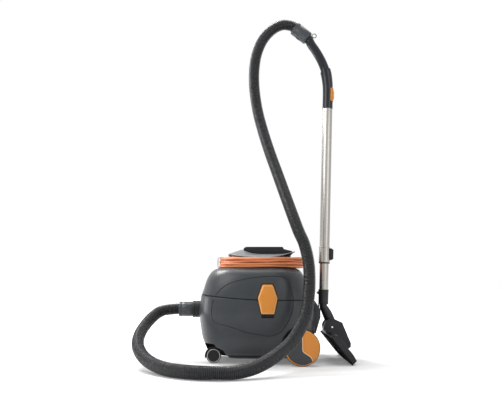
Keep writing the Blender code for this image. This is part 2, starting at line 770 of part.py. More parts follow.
def inlet_collar(finish):
    front = BODY_FRONT - INLET_REACH
    back = front_at(INLET_HEIGHT) + SHELL_WALL + INLET_INSIDE
    bore = CUFF_RADIUS + RUN_GAP
    stop = front + CUFF_PLUG + RUN_GAP
    profile = [(INLET_RADIUS, back), (INLET_RADIUS, front + 0.002), (INLET_RADIUS - 0.002, front),
               (bore, front), (bore, stop), (CUFF_AIRWAY, stop), (CUFF_AIRWAY, back)]
    return turned("inlet_collar", profile, finish, axis="X", at=(0.0, 0.0, INLET_HEIGHT),
                  bored=True, steps=20)


def dock_outline():
    """Side outline of the dock; its front follows the tank."""
    heights = (DOCK_FOOT, 0.115, 0.150, 0.181, DOCK_TOP)
    front = [(rear_at(z) + 2 * SEAT_GAP, z) for z in heights]
    reach = BODY_REAR + DOCK_REACH
    back = [(rear_at(DOCK_TOP) + 0.010, DOCK_TOP), (reach, DOCK_SHOULDER), (reach, DOCK_WAIST),
            (rear_at(DOCK_FOOT) + 0.0055, DOCK_FOOT - 0.001)]
    return front + back


def dock(finish):
    """A channel on the back of the tank, with a slot that the wand's stud drops into."""
    body = plate("docking_bracket", dock_outline(), DOCK_HALF_WIDTH, finish)
    wall_back = BODY_REAR + DOCK_REACH
    head_back = wall_back - STUD_WALL
    head_front = head_back - STUD_HEAD_THICK - 2 * RUN_GAP
    head = box("dock_head_room",
               (head_front, -STUD_HEAD_RADIUS - 0.001, STUD_HEIGHT - STUD_HEAD_RADIUS - RUN_GAP),
               (head_back, STUD_HEAD_RADIUS + 0.001, DOCK_TOP + 0.02), helper=True)
    stem = box("dock_stem_slot",
               (head_back - 0.001, -STUD_STEM_RADIUS - 0.0008,
                STUD_HEIGHT - STUD_STEM_RADIUS - SEAT_GAP),
               (wall_back + 0.01, STUD_STEM_RADIUS + 0.0008, DOCK_TOP + 0.02), helper=True)
    cut(body, head, stem)
    return body


# ---------------------------------------------------------------- wheels
def rear_wheel(side, finishes):
    hand = "left" if side < 0 else "right"
    centre = (WHEEL_X, 0.0, WHEEL_RADIUS)
    turn = (math.radians(-90) * side, 0.0, 0.0)
    outer = WHEEL_OUTER
    inner = WHEEL_OUTER - WHEEL_WIDTH
    options = {"at": centre, "turn": turn}
    pin_foot = arch_inner() + SEAT_GAP
    turned(f"rear_axle_{hand}",
           [(0.0, outer - 0.002), (AXLE_RADIUS, outer - 0.002), (AXLE_RADIUS, inner - 0.0012),
            (AXLE_FLANGE, inner - 0.0012), (AXLE_FLANGE, pin_foot), (0.0, pin_foot)],
           finishes["steel"], steps=12, **options)
    disc = WHEEL_RADIUS - TYRE_DEPTH
    hub = AXLE_FLANGE + 0.004
    turned(f"rear_wheel_{hand}",
           [(disc, outer), (disc, inner + 0.002), (disc - 0.006, inner + 0.002),
            (hub + 0.012, outer - 0.008), (hub, inner),
            (AXLE_RADIUS + RUN_GAP, inner), (AXLE_RADIUS + RUN_GAP, outer)],
           finishes["black"], bored=True, steps=20, **options)
    tyre_in = disc + SEAT_GAP
    turned(f"rear_tyre_{hand}",
           [(WHEEL_RADIUS - 0.002, outer), (WHEEL_RADIUS, outer - 0.003),
            (WHEEL_RADIUS, inner + 0.001), (tyre_in, inner + 0.001), (tyre_in, outer)],
           finishes["rubber"], bored=True, steps=20, **options)
    foot = outer + SEAT_GAP
    turned(f"hub_cap_{hand}",
           [(0.0, foot + CAP_THICK), (CAP_RADIUS - CAP_RIM, foot + CAP_THICK),
            (CAP_RADIUS, foot + 0.001), (CAP_RADIUS, foot), (0.0, foot)],
           finishes["trim"], steps=20, **options)
    face = foot + CAP_THICK + SEAT_GAP
    leaf = plate(f"hub_insert_{hand}", leaf_outline(), INSERT_THICK / 2, finishes["insert"])
    leaf.location = (WHEEL_X, side * (face + INSERT_THICK / 2), WHEEL_RADIUS)


def leaf_outline():
    """The dark leaf on the hub cap: a disc cut off by a bent line on the dock's side."""
    radius = CAP_RADIUS - CAP_RIM - 0.001
    arc = [(radius * math.cos(a), radius * math.sin(a))
           for a in np.radians(np.linspace(86.0, 309.0, 22))]
    return arc + [(0.0022, -0.0125), (0.0022, 0.030)]


def caster(side, finishes):
    hand = "left" if side < 0 else "right"
    x, y = caster_side(side)
    swivel = frame_empty(f"caster_swivel_{hand}", (x, y, 0.0))
    inner = CASTER_RADIUS + CASTER_FENDER_GAP
    outer = inner + CASTER_FENDER
    angles = np.radians(np.linspace(28.0, 196.0, 8))
    arc = [(outer * math.cos(a), outer * math.sin(a)) for a in angles]
    back = [(inner * math.cos(a), inner * math.sin(a)) for a in angles[::-1]]
    wheel_at = (-CASTER_TRAIL, 0.0, CASTER_RADIUS)
    half = CASTER_WEB + RUN_GAP + CASTER_TREAD
    fork = plate(f"caster_fork_{hand}", arc + back, half, finishes["black"])
    fork.location = wheel_at
    fork.parent = swivel
    web_outline = [(inner * 1.01 * math.cos(a), inner * 1.01 * math.sin(a))
                   for a in np.radians(np.linspace(10.0, 190.0, 7))]
    web_outline += [(-0.012, -0.010), (0.012, -0.010)]
    web = plate(f"caster_web_{hand}", web_outline, CASTER_WEB, helper=True)
    web.location = wheel_at
    web.parent = swivel
    crown = CASTER_RADIUS + inner
    stand = turned(f"caster_stem_{hand}",
                   [(0.0, POCKET_TOP + CASTER_SOCKET - 0.001),
                    (CASTER_STEM, POCKET_TOP + CASTER_SOCKET - 0.001),
                    (CASTER_STEM, CASTER_PLATE_TOP), (0.012, CASTER_PLATE_TOP),
                    (0.012, crown - 0.012), (0.0, crown - 0.012)],
                   parent=swivel, helper=True, steps=12)
    hollow = rod(f"caster_wheel_room_{hand}", inner, -half - 0.01, half + 0.01, at=wheel_at,
                 axis="Y", parent=swivel, helper=True, steps=18)
    combine(stand, hollow, "DIFFERENCE")
    bore = rod(f"caster_bore_{hand}", CASTER_AXLE + RUN_GAP, -0.02, 0.02, at=wheel_at, axis="Y",
               parent=swivel, helper=True, steps=12)
    add(fork, web, stand)
    cut(fork, bore)
    face = CASTER_WEB + RUN_GAP
    tread = face + CASTER_TREAD
    turned(f"caster_wheels_{hand}",
           [(0.0, tread), (CASTER_RADIUS, tread), (CASTER_RADIUS, face), (CASTER_AXLE, face),
            (CASTER_AXLE, -face), (CASTER_RADIUS, -face), (CASTER_RADIUS, -tread), (0.0, -tread)],
           finishes["black"], axis="Y", at=wheel_at, parent=swivel, steps=18)


# ---------------------------------------------------------------- hood
def hood(finish):
    """The cover that carries motor, cord and handle; open underneath."""
    span = hood_span()
    lift = SEAL_HEIGHT / 2 + SEAT_GAP
    outer = [shell_ring(HOOD_SECTIONS, span, row[0], lift=lift * (row[0] == 0.0))
             for row in HOOD_SECTIONS]
    top_share = 1.0 - SHELL_WALL / span[1]
    inner = [shell_ring(HOOD_SECTIONS, span, row[0], SHELL_WALL, -0.02 * (row[0] == 0.0))
             for row in HOOD_SECTIONS if row[0] < top_share - 0.02]
    inner.append(shell_ring(HOOD_SECTIONS, span, top_share, SHELL_WALL * 1.6))
    shell = loft("hood", outer, finish)
    cavity = loft("hood_cavity", inner, helper=True)
    for side in (-1, 1):
        cut(cavity, knuckle_box(side, ARCH_WALL, f"knuckle_wall_{side + 1}"))
    cut(shell, cavity)
    for side in (-1, 1):
        hand = "left" if side < 0 else "right"
        cut(shell, knuckle_box(side, 0.0, f"knuckle_room_{hand}"),
            latch_cutter(side, f"hood_latch_seat_{hand}"))
    place = button_place()
    hole = rod("button_hole", BUTTON_RADIUS + RUN_GAP, 0.0, 0.06,
               at=(place - 0.03, BUTTON_Y, BUTTON_HEIGHT), axis="X", helper=True)
    cut(shell, hole)
    return shell


def knuckle_box(side, grow, name):
    """The deeper room in the hood for a latch's knuckle, or the moulding round it."""
    surface = side_at(LATCH_X, LATCH_TOP)
    deep = surface - LATCH_PIN_DEPTH - LATCH_KNUCKLE - SWING_GAP
    half = LATCH_TOP_HALF + LATCH_ROOM_SPARE
    low = (LATCH_X - half - grow, deep - grow, LATCH_TOP - 0.020 - grow)
    high = (LATCH_X + half + grow, surface + 0.02, LATCH_TOP + SWING_GAP + grow)
    if side < 0:
        low, high = (low[0], -high[1], low[2]), (high[0], -low[1], high[2])
    return box(name, low, high, helper=True)


def latch_axis(side):
    return (LATCH_X, side * (side_at(LATCH_X, LATCH_TOP) - LATCH_PIN_DEPTH),
            LATCH_TOP - LATCH_PIN_DROP)


def latch(side, finishes):
    """A six-sided clamp that turns on a pin in the hood and covers the joint to the tank."""
    hand = "left" if side < 0 else "right"
    pivot = frame_empty(f"latch_pivot_{hand}", latch_axis(side))
    origin = Vector(latch_axis(side))

    def layer(grow, proud, drop=0.0):
        return [Vector((x, side * (side_at(x, z) + proud), z)) - origin
                for x, z in latch_outline(grow, 1.0, drop)]

    rings = [layer(0.0, LATCH_BACK_GAP - LATCH_RECESS),
             layer(0.0, LATCH_PROUD - 0.0025, LATCH_TOP_SLOPE),
             layer(-LATCH_BEVEL, LATCH_PROUD, 0.45 * LATCH_TOP_SLOPE)]
    body = loft(f"latch_{hand}", rings, finishes["trim"], parent=pivot, from_tip=False)
    half = LATCH_TOP_HALF - RUN_GAP
    knuckle = rod(f"latch_knuckle_{hand}", LATCH_KNUCKLE, -half, half, axis="X", parent=pivot,
                  helper=True, steps=12)
    add(body, knuckle)
    bore = rod(f"latch_bore_{hand}", LATCH_PIN_RADIUS + SEAT_GAP, -0.03, 0.03, axis="X",
               parent=pivot, helper=True, steps=10)
    cut(body, bore)
    pin_half = LATCH_TOP_HALF + LATCH_ROOM_SPARE - SEAT_GAP
    rod(f"latch_pin_{hand}", LATCH_PIN_RADIUS, -pin_half, pin_half, finish=finishes["steel"],
        axis="X", parent=pivot, steps=10)


def rim_ring(x_mid, half_length, half_width, height, lift=True, power=2.3):
    """A ring of the handle rim; its height swells towards the tips."""
    ring_points = []
    outline = plan_outline(x_mid - half_length, x_mid + half_length, half_width, x_mid, power, 28)
    for x, y in outline:
        share = (x - x_mid) / half_length
        rise = RIM_REAR_LIFT if share > 0 else RIM_FRONT_LIFT
        ring_points.append((x, y, height + rise * share * share * lift))
    return ring_points


def rim_skirt(points):
    """The rim's edge drawn down to its skirt, deeper on the front half."""
    low = []
    for x, y, z in points:
        share = min(1.0, max(0.0, (x - RIM_X + 0.004) / 0.016))
        depth = RIM_SKIRT_FRONT + (RIM_SKIRT_REAR - RIM_SKIRT_FRONT) * share
        low.append((x, y, z - RIM_THICK - depth))
    return low


def handle_rim(finish):
    """The saddle that keeps the cord on, with an oval neck down to the hood and a hand well."""
    edge = rim_ring(RIM_X, RIM_HALF_LENGTH, RIM_HALF_WIDTH, RIM_EDGE_HEIGHT)
    neck_length = WELL_HALF_LENGTH + NECK_WALL
    neck_width = WELL_HALF_WIDTH + NECK_WALL
    inner = rim_ring(WELL_X, WELL_HALF_LENGTH, WELL_HALF_WIDTH, RIM_INNER_HEIGHT, 0.1)
    under = rim_ring(WELL_X, neck_length, neck_width, RIM_INNER_HEIGHT - RIM_THICK * 2, 0.1)
    under_edge = [(RIM_X + (x - RIM_X) * 0.975, y * 0.965, z - RIM_THICK)
                  for x, y, z in edge]
    foot = DECK_HEIGHT + SEAT_GAP
    well_foot = rim_ring(WELL_X, WELL_HALF_LENGTH, WELL_HALF_WIDTH, foot, 0.0)
    neck_foot = rim_ring(WELL_X, neck_length, neck_width, foot, 0.0)
    rings = [rim_skirt(edge), edge, inner, well_foot, neck_foot, under, under_edge]
    return loft("handle_rim", rings, finish, ring_of_rings=True)


def grip(finish):
    """The bar along the middle of the rim, seated on the rim at both ends."""
    front_lip, rear_lip = WELL_X - WELL_HALF_LENGTH, WELL_X + WELL_HALF_LENGTH
    front_seat = RIM_INNER_HEIGHT + 0.1 * RIM_FRONT_LIFT + 3 * SEAT_GAP
    rear_seat = RIM_INNER_HEIGHT + 0.1 * RIM_REAR_LIFT + 5 * SEAT_GAP
    slope = (RIM_EDGE_HEIGHT + RIM_REAR_LIFT - rear_seat) / (RIM_X + RIM_HALF_LENGTH - rear_lip)
    rear_foot = rear_seat + slope * (GRIP_REAR - rear_lip) + SEAT_GAP
    outline = [(GRIP_FRONT, front_seat), (GRIP_FRONT + 0.006, GRIP_TOP - 0.004),
               (GRIP_FRONT + 0.014, GRIP_TOP), (0.0430, GRIP_TOP), (0.0465, GRIP_TOP - 0.0075),
               (GRIP_REAR, rear_foot + 0.0055), (GRIP_REAR, rear_foot),
               (rear_lip - 0.0004, rear_seat), (rear_lip - 0.010, GRIP_UNDER),
               (front_lip + 0.010, GRIP_UNDER), (front_lip + 0.0004, front_seat)]
    return plate("carry_grip", outline, GRIP_HALF_WIDTH, finish, bevel=0.0045)


def button_place():
    """Where the switch button's face meets the back of the hood."""
    base, rise = hood_span()
    front, rear, side = insets_at(HOOD_SECTIONS, (BUTTON_HEIGHT - base) / rise)
    half = BODY_HALF_WIDTH - side
    share = (1 - (BUTTON_Y / half) ** OUTLINE_POWER) ** (1 / OUTLINE_POWER)
    return BODY_MID + (BODY_REAR - rear - BODY_MID) * share


def power_button(finishes):
    face = button_place() + 0.0040
    at = (face, BUTTON_Y, BUTTON_HEIGHT)
    turned("power_button",
           [(0.0, 0.0), (BUTTON_RADIUS - 0.002, 0.0), (BUTTON_RADIUS, -0.002),
            (BUTTON_RADIUS, -BUTTON_LENGTH), (0.0, -BUTTON_LENGTH)],
           finishes["trim"], axis="X", at=at, steps=16)
    back = face - BUTTON_LENGTH - BUTTON_TRAVEL - RUN_GAP
    half = SWITCH_SIZE / 2
    foot = CARRIER_HEIGHT + CARRIER_THICK + SEAT_GAP
    box("power_switch", (back - SWITCH_SIZE, BUTTON_Y - half, foot),
        (back, BUTTON_Y + half, BUTTON_HEIGHT + 0.005), finishes["black"])


# ---------------------------------------------------------------- inside the machine
def carrier_ring(height, inset):
    span = hood_span()
    share = (height - span[0]) / span[1]
    front, rear, side = insets_at(HOOD_SECTIONS, share)
    gap = SHELL_WALL + inset
    outline = plan_outline(BODY_FRONT + front + gap, BODY_REAR - rear - gap,
                           BODY_HALF_WIDTH - side - gap, BODY_MID, OUTLINE_POWER, 32)
    return [(x, y, height) for x, y in outline]


def motor_group(finishes):
    """Carrier, motor can, rotor with fan, pre-filter basket and exhaust filter."""
    low, top = CARRIER_HEIGHT, CARRIER_HEIGHT + CARRIER_THICK
    inset = 0.0012
    carrier = loft("motor_carrier", [carrier_ring(low, inset + 0.0016), carrier_ring(top, inset)],
                   finishes["black"])
    for side in (-1, 1):
        hand = "left" if side < 0 else "right"
        cut(carrier, knuckle_box(side, ARCH_WALL + RUN_GAP, f"carrier_notch_{hand}"),
            latch_room(side, f"carrier_latch_room_{hand}"))
    intake = rod("intake_hole", CARRIER_INTAKE, low - 0.01, top + 0.01,
                 at=(MOTOR_X, 0.0, 0.0), helper=True)
    cut(carrier, intake)
    can_foot = top + SEAT_GAP
    can_top = can_foot + MOTOR_HEIGHT
    bore = SHAFT_RADIUS + RUN_GAP
    turned("motor_can",
           [(0.014, can_top + 0.006), (0.014, can_top), (MOTOR_RADIUS - 0.004, can_top),
            (MOTOR_RADIUS, can_top - 0.004), (MOTOR_RADIUS, can_foot),
            (CARRIER_INTAKE, can_foot), (CARRIER_INTAKE, can_foot + MOTOR_WALL),
            (MOTOR_RADIUS - MOTOR_WALL, can_foot + MOTOR_WALL),
            (MOTOR_RADIUS - MOTOR_WALL, can_top - MOTOR_WALL - 0.002),
            (bore, can_top - MOTOR_WALL - 0.002), (bore, can_top + 0.006)],
           finishes["motor"], at=(MOTOR_X, 0.0, 0.0), bored=True, steps=14)
    fan_foot = can_foot + MOTOR_WALL + 0.003
    fan_top = fan_foot + FAN_THICK
    rotor_foot = fan_top + 0.006
    rotor_top = rotor_foot + ROTOR_LENGTH
    turned("fan_rotor",
           [(0.0, can_top + 0.005), (SHAFT_RADIUS, can_top + 0.005), (SHAFT_RADIUS, rotor_top),
            (ROTOR_RADIUS, rotor_top), (ROTOR_RADIUS, rotor_foot), (0.008, rotor_foot),
            (0.008, fan_top), (FAN_RADIUS, fan_top - 0.005), (FAN_RADIUS, fan_foot),
            (0.0, fan_foot)],
           finishes["steel"], at=(MOTOR_X, 0.0, 0.0), steps=12)
    lip = low - SEAT_GAP
    floor = lip - BASKET_DEPTH
    inside = BASKET_RADIUS - BASKET_WALL
    turned("filter_basket",
           [(0.0, floor + BASKET_WALL), (inside - 0.008, floor + BASKET_WALL), (inside, lip),
            (BASKET_RADIUS + 0.006, lip), (BASKET_RADIUS + 0.006, lip - BASKET_WALL),
            (BASKET_RADIUS, lip - BASKET_WALL), (BASKET_RADIUS - 0.008, floor), (0.0, floor)],
           finishes["paper"], at=(MOTOR_X, 0.0, 0.0), steps=16)
    box("exhaust_filter", (EXHAUST_X, -EXHAUST_HALF_WIDTH - 0.02, top + SEAT_GAP),
        (EXHAUST_X + EXHAUST_LENGTH, EXHAUST_HALF_WIDTH - 0.03, top + EXHAUST_HEIGHT),
        finishes["paper"])


def latch_room(side, name):
    surface = side_at(LATCH_X, CARRIER_HEIGHT)
    low, high = sorted((side * (surface - LATCH_RECESS - 0.003), side * (surface + 0.02)))
    half = LATCH_WAIST_HALF + 0.004
    return box(name, (LATCH_X - half, low, CARRIER_HEIGHT - 0.01),
               (LATCH_X + half, high, CARRIER_HEIGHT + 0.02), helper=True)


def dust_bag(finishes):
    """A pillow-shaped fleece bag on the pocket roofs, with its stiff plate behind the inlet."""
    foot = POCKET_TOP + ARCH_WALL + SEAT_GAP
    middle = (foot + BAG_TOP) / 2
    boss_top = POCKET_TOP + CASTER_SOCKET + ARCH_WALL
    levels = ((0.80, foot), (0.96, foot + 0.014), (1.0, middle), (0.95, BAG_TOP - 0.014),
              (0.72, BAG_TOP))
    rings = []
    for share, height in levels:
        half_length, half_width = BAG_HALF_LENGTH * share, BAG_HALF_WIDTH * share
        outline = plan_outline(BAG_X - half_length, BAG_X + half_length, half_width, BAG_X, 2.6, 20)
        rings.append([(x, y, height) for x, y in outline])
    bag = loft("dust_bag", rings, finishes["paper"])
    for side in (-1, 1):
        hand = "left" if side < 0 else "right"
        x, y = caster_side(side)
        cut(bag, rod(f"bag_boss_room_{hand}", CASTER_STEM + 0.005 + 0.001, foot - 0.01,
                     boss_top + 0.001, at=(x, y, 0.0), steps=16, helper=True))
    back = front_at(INLET_HEIGHT) + SHELL_WALL + INLET_INSIDE + SEAT_GAP
    half = COLLAR_PLATE_HALF
    plate_low = (back, -half, INLET_HEIGHT - half)
    plate_high = (back + COLLAR_PLATE, half, INLET_HEIGHT + half * 0.75)
    collar = box("bag_collar", plate_low, plate_high, finishes["paper"])
    hole = rod("bag_collar_hole", CUFF_AIRWAY + 0.003, back - 0.01, back + 0.02,
               at=(0.0, 0.0, INLET_HEIGHT), axis="X", helper=True, steps=20)
    cut(collar, hole)
    room = box("bag_collar_room", (BODY_FRONT, -half - 0.002, foot - 0.02),
               (back + COLLAR_PLATE + SEAT_GAP, half + 0.002, BAG_TOP + 0.02), helper=True)
    cut(bag, room)


# ---------------------------------------------------------------- mains cord
def coil_point(angle, radial, layer):
    """A place in the coil: angle round it, turns out from the inner one, and layers up."""
    half_length = CORD_INNER_LENGTH + CORD_PITCH * radial
    half_width = CORD_INNER_WIDTH + CORD_PITCH * radial
    c, s = math.cos(angle), math.sin(angle)
    x = CORD_X + half_length * math.copysign(abs(c) ** (2 / CORD_POWER), c)
    y = half_width * math.copysign(abs(s) ** (2 / CORD_POWER), s)
    z = DECK_HEIGHT + SEAT_GAP * 2 + CORD_RADIUS + CORD_PITCH * layer
    return Vector((x, y, z))


def coil_points():
    """Turns that spiral out and in again, climbing a layer while the spiral reverses."""
    steps = CORD_LAYERS * CORD_TURNS * CORD_POINTS - CORD_SHORT
    climb = 0.5
    points = []
    for step in range(steps):
        turns = step / CORD_POINTS
        layer = int(turns // CORD_TURNS)
        within = turns - layer * CORD_TURNS
        radial = within if layer % 2 == 0 else CORD_TURNS - within
        to_next = CORD_TURNS - within
        height = layer
        if layer + 1 < CORD_LAYERS and to_next < climb / 2:
            height = layer + 0.5 - to_next / climb
        elif layer > 0 and within < climb / 2:
            height = layer - 0.5 + within / climb
        points.append(coil_point(math.radians(CORD_START) - turns * 2 * math.pi, radial, height))
    return points


def gland_mouth():
    """Where the cord leaves its strain relief, inside the coil's first turn."""
    return Vector((GLAND_MOUTH_X, GLAND_MOUTH_Y, coil_point(0.0, 0.0, 0.0).z))


def plug_mouth():
    return Vector((PLUG_X, PLUG_Y - SEAT_GAP, DECK_HEIGHT + SEAT_GAP + PLUG_RADIUS))


def cord_points():
    """The whole cord: straight out of the gland, round the coil, and into the plug."""
    coil = coil_points()
    mouth, end = gland_mouth(), plug_mouth()
    lead = CORD_RADIUS * 2
    start = [mouth + Vector((SEAT_GAP, 0.0, 0.0)), mouth + Vector((lead, 0.0, 0.0))]
    start.append((start[-1] + coil[0]) / 2 + Vector((0.0, 0.0012, 0.0)))
    last = coil[-1]
    run_in = [Vector((-0.1400, -0.0480, last.z - 0.0020)),
              Vector((-0.1360, -0.0330, end.z + 0.0070)),
              Vector((-0.1275, -0.0220, end.z + 0.0020))]
    finish = [end - Vector((0.0, lead, 0.0)), end]
    tail = smooth_path([tuple(last), *map(tuple, run_in), tuple(finish[0])], 0.014)
    return start + coil[:-1] + [Vector(p) for p in tail] + [finish[1]]


def least_gap(points, radius, skip):
    """The smallest gap of a tube to itself, on points spaced finely along it."""
    points = np.array([tuple(p) for p in points])
    fine = []
    for a, b in zip(points, points[1:]):
        count = max(2, int(np.linalg.norm(b - a) / (radius * 0.8)))
        fine.extend(a + (b - a) * t for t in np.linspace(0.0, 1.0, count, endpoint=False))
    fine = np.array(fine)
    along = np.concatenate([[0.0], np.cumsum(np.linalg.norm(np.diff(fine, axis=0), axis=1))])
    least = math.inf
    for i in range(len(fine)):
        apart = np.abs(along - along[i]) > skip
        if apart.any():
            least = min(least, float(np.linalg.norm(fine[apart] - fine[i], axis=1).min()))
    return least - 2 * radius


def gland_height():
    """The gland takes its share of the room under the rim's neck."""
    return GLAND_SHARE * (RIM_INNER_HEIGHT - 2 * RIM_THICK - DECK_HEIGHT)


def mains_cord(finishes):
    mouth = gland_mouth()
    neck_side = WELL_HALF_WIDTH + NECK_WALL
    relief_foot = mouth.x - RELIEF_LENGTH
    foot = DECK_HEIGHT + SEAT_GAP
    gland = box("cord_gland", (relief_foot - GLAND_LENGTH, neck_side + SEAT_GAP, foot),
                (relief_foot, mouth.y + GLAND_WIDTH / 2, foot + gland_height()), finishes["black"])
    relief = turned("cord_relief",
                    [(0.0, mouth.x), (CORD_RADIUS + 0.0004, mouth.x),
                     (RELIEF_RADIUS * 0.62, mouth.x - 0.006),
                     (RELIEF_RADIUS * 0.62, relief_foot - 0.001), (0.0, relief_foot - 0.001)],
                    axis="X", at=(0.0, mouth.y, mouth.z), helper=True, steps=16)
    add(gland, relief)
    points = cord_points()
    print("cord: least gap to itself %.2f mm, length %.2f m" % (
        1000 * least_gap(points, CORD_RADIUS, CORD_PITCH * 3),
        sum((b - a).length for a, b in zip(points, points[1:]))))
    tube("mains_cord", points, [CORD_RADIUS] * len(points), finishes["cord"], sides=1)
    back = PLUG_Y
    centre = DECK_HEIGHT + SEAT_GAP + PLUG_RADIUS
    turned("mains_plug",
           [(0.0, back + PLUG_LENGTH), (PLUG_RADIUS - 0.002, back + PLUG_LENGTH),
            (PLUG_RADIUS, back + PLUG_LENGTH - 0.002), (PLUG_RADIUS, back + PLUG_LENGTH - 0.012),
            (PLUG_RADIUS * 0.72, back + 0.012), (CORD_RADIUS + 0.002, back), (0.0, back)],
           finishes["black"], axis="Y", at=(PLUG_X, 0.0, centre), steps=16)
    for side in (-1, 1):
        hand = "left" if side < 0 else "right"
        face = back + PLUG_LENGTH + SEAT_GAP
        rod(f"plug_pin_{hand}", PIN_RADIUS, face, face + PIN_LENGTH, finish=finishes["chrome"],
            axis="Y", at=(PLUG_X + side * PIN_SPACING / 2, 0.0, centre), steps=10)


# ---------------------------------------------------------------- hose
def cuff_heading():
    dip = math.radians(HANDLE_CUFF_DIP)
    return Vector((math.cos(dip), 0.0, -math.sin(dip)))


def machine_cuff_front():
    return BODY_FRONT - INLET_REACH - CUFF_SLEEVE


def hose_points():
    """Knots of the hose: its seats in both cuffs are straight, the rest is the route."""
    start = Vector((machine_cuff_front() + HOSE_SEAT, 0.0, INLET_HEIGHT))
    straight = 2 * HOSE_RADIUS
    heading = cuff_heading()
    end = Vector(HANDLE_CUFF_MOUTH) + heading * HOSE_SEAT
    first = start - Vector((straight, 0.0, 0.0))
    last = end - heading * straight
    run = smooth_path([tuple(start), tuple((start + first) / 2), tuple(first), *HOSE_ROUTE,
                       tuple(last), tuple((last + end) / 2), tuple(end)], 0.002)
    along = np.concatenate([[0.0], np.cumsum(np.linalg.norm(np.diff(run, axis=0), axis=1))])
    return run, along, start, first, last, end


def on_path(run, along, wanted):
    return np.column_stack([np.interp(wanted, along, run[:, k]) for k in range(3)])


def hose(finish):
    run, along, start, first, last, end = hose_points()
    straight = 2 * HOSE_RADIUS
    free = along[-1] - 2 * straight
    pitch = free / HOSE_RIBS
    knots, radii = [start, first], [HOSE_VALLEY] * 2
    for rib in range(HOSE_RIBS):
        for share, radius in ((0.25, HOSE_VALLEY), (0.75, HOSE_RADIUS)):
            place = on_path(run, along, [straight + pitch * (rib + share)])[0]
            knots.append(Vector(place))
            radii.append(radius)
    knots += [last, end]
    radii += [HOSE_VALLEY] * 2
    print("hose: least gap to itself %.1f mm, length %.3f m" % (
        1000 * least_gap(knots, HOSE_RADIUS, 0.20), along[-1]))
    body = tube("hose", knots, radii, finish, sides=2)
    bore_knots = [start + Vector((0.004, 0.0, 0.0))]
    wanted = np.linspace(straight * 0.5, along[-1] - straight * 0.5, 74)
    bore_knots += [Vector(p) for p in on_path(run, along, wanted)]
    bore_knots.append(end + cuff_heading() * 0.004)
    bore = tube("hose_bore", bore_knots, [HOSE_BORE] * len(bore_knots), helper=True, sides=2)
    cut(body, bore)
    return body


def machine_cuff(finish):
    """The swivel sleeve on the hose's machine end; its back sits in the inlet collar."""
    front = machine_cuff_front()
    back = BODY_FRONT - INLET_REACH + CUFF_PLUG
    seat = front + HOSE_SEAT + SEAT_GAP
    bore = HOSE_RADIUS + RUN_GAP
    profile = [(CUFF_RADIUS, back), (CUFF_RADIUS, front + 0.003), (CUFF_RADIUS - 0.0015, front),
               (bore, front), (bore, seat), (CUFF_AIRWAY, seat), (CUFF_AIRWAY, back)]
    return turned("hose_cuff_machine", profile, finish, axis="X", at=(0.0, 0.0, INLET_HEIGHT),
                  bored=True, steps=20)


def handle_cuff(finish):
    """The swivel barrel on the hose's handle end; the bent handle plugs into its lower end."""
    length = HANDLE_CUFF_LENGTH
    bore = HOSE_RADIUS + RUN_GAP
    seat = HOSE_SEAT + SEAT_GAP
    socket = handle_plug_depth()
    profile = [(CUFF_RADIUS - 0.0010, length), (CUFF_RADIUS, 0.003),
               (CUFF_RADIUS - 0.0015, 0.0), (bore, 0.0), (bore, seat),
               (HANDLE_BORE, seat), (HANDLE_BORE, length - socket - RUN_GAP),
               (HANDLE_NECK_RADIUS + RUN_GAP, length - socket - RUN_GAP),
               (HANDLE_NECK_RADIUS + RUN_GAP, length)]
    turn = (0.0, math.radians(90.0 + HANDLE_CUFF_DIP), 0.0)
    return turned("hose_cuff_handle", profile, finish, at=HANDLE_CUFF_MOUTH, turn=turn,
                  bored=True, steps=20)


def handle_plug_depth():
    return 0.0150


# ---------------------------------------------------------------- wand
def wand_point(height):
    lean = math.radians(WAND_LEAN)
    return Vector(WAND_FOOT) + Vector((math.sin(lean), 0.0, math.cos(lean))) * height


def wand_tubes(frame, finishes):
    outer, wall = OUTER_TUBE_RADIUS, OUTER_TUBE_WALL
    ring("outer_tube", outer - wall, outer, OUTER_TUBE_FOOT, OUTER_TUBE_TOP,
         finish=finishes["steel"], parent=frame, steps=20)
    ring("inner_tube", INNER_TUBE_RADIUS - INNER_TUBE_WALL, INNER_TUBE_RADIUS, INNER_TUBE_FOOT,
         INNER_TUBE_TOP, finish=finishes["steel"], parent=frame, steps=20)


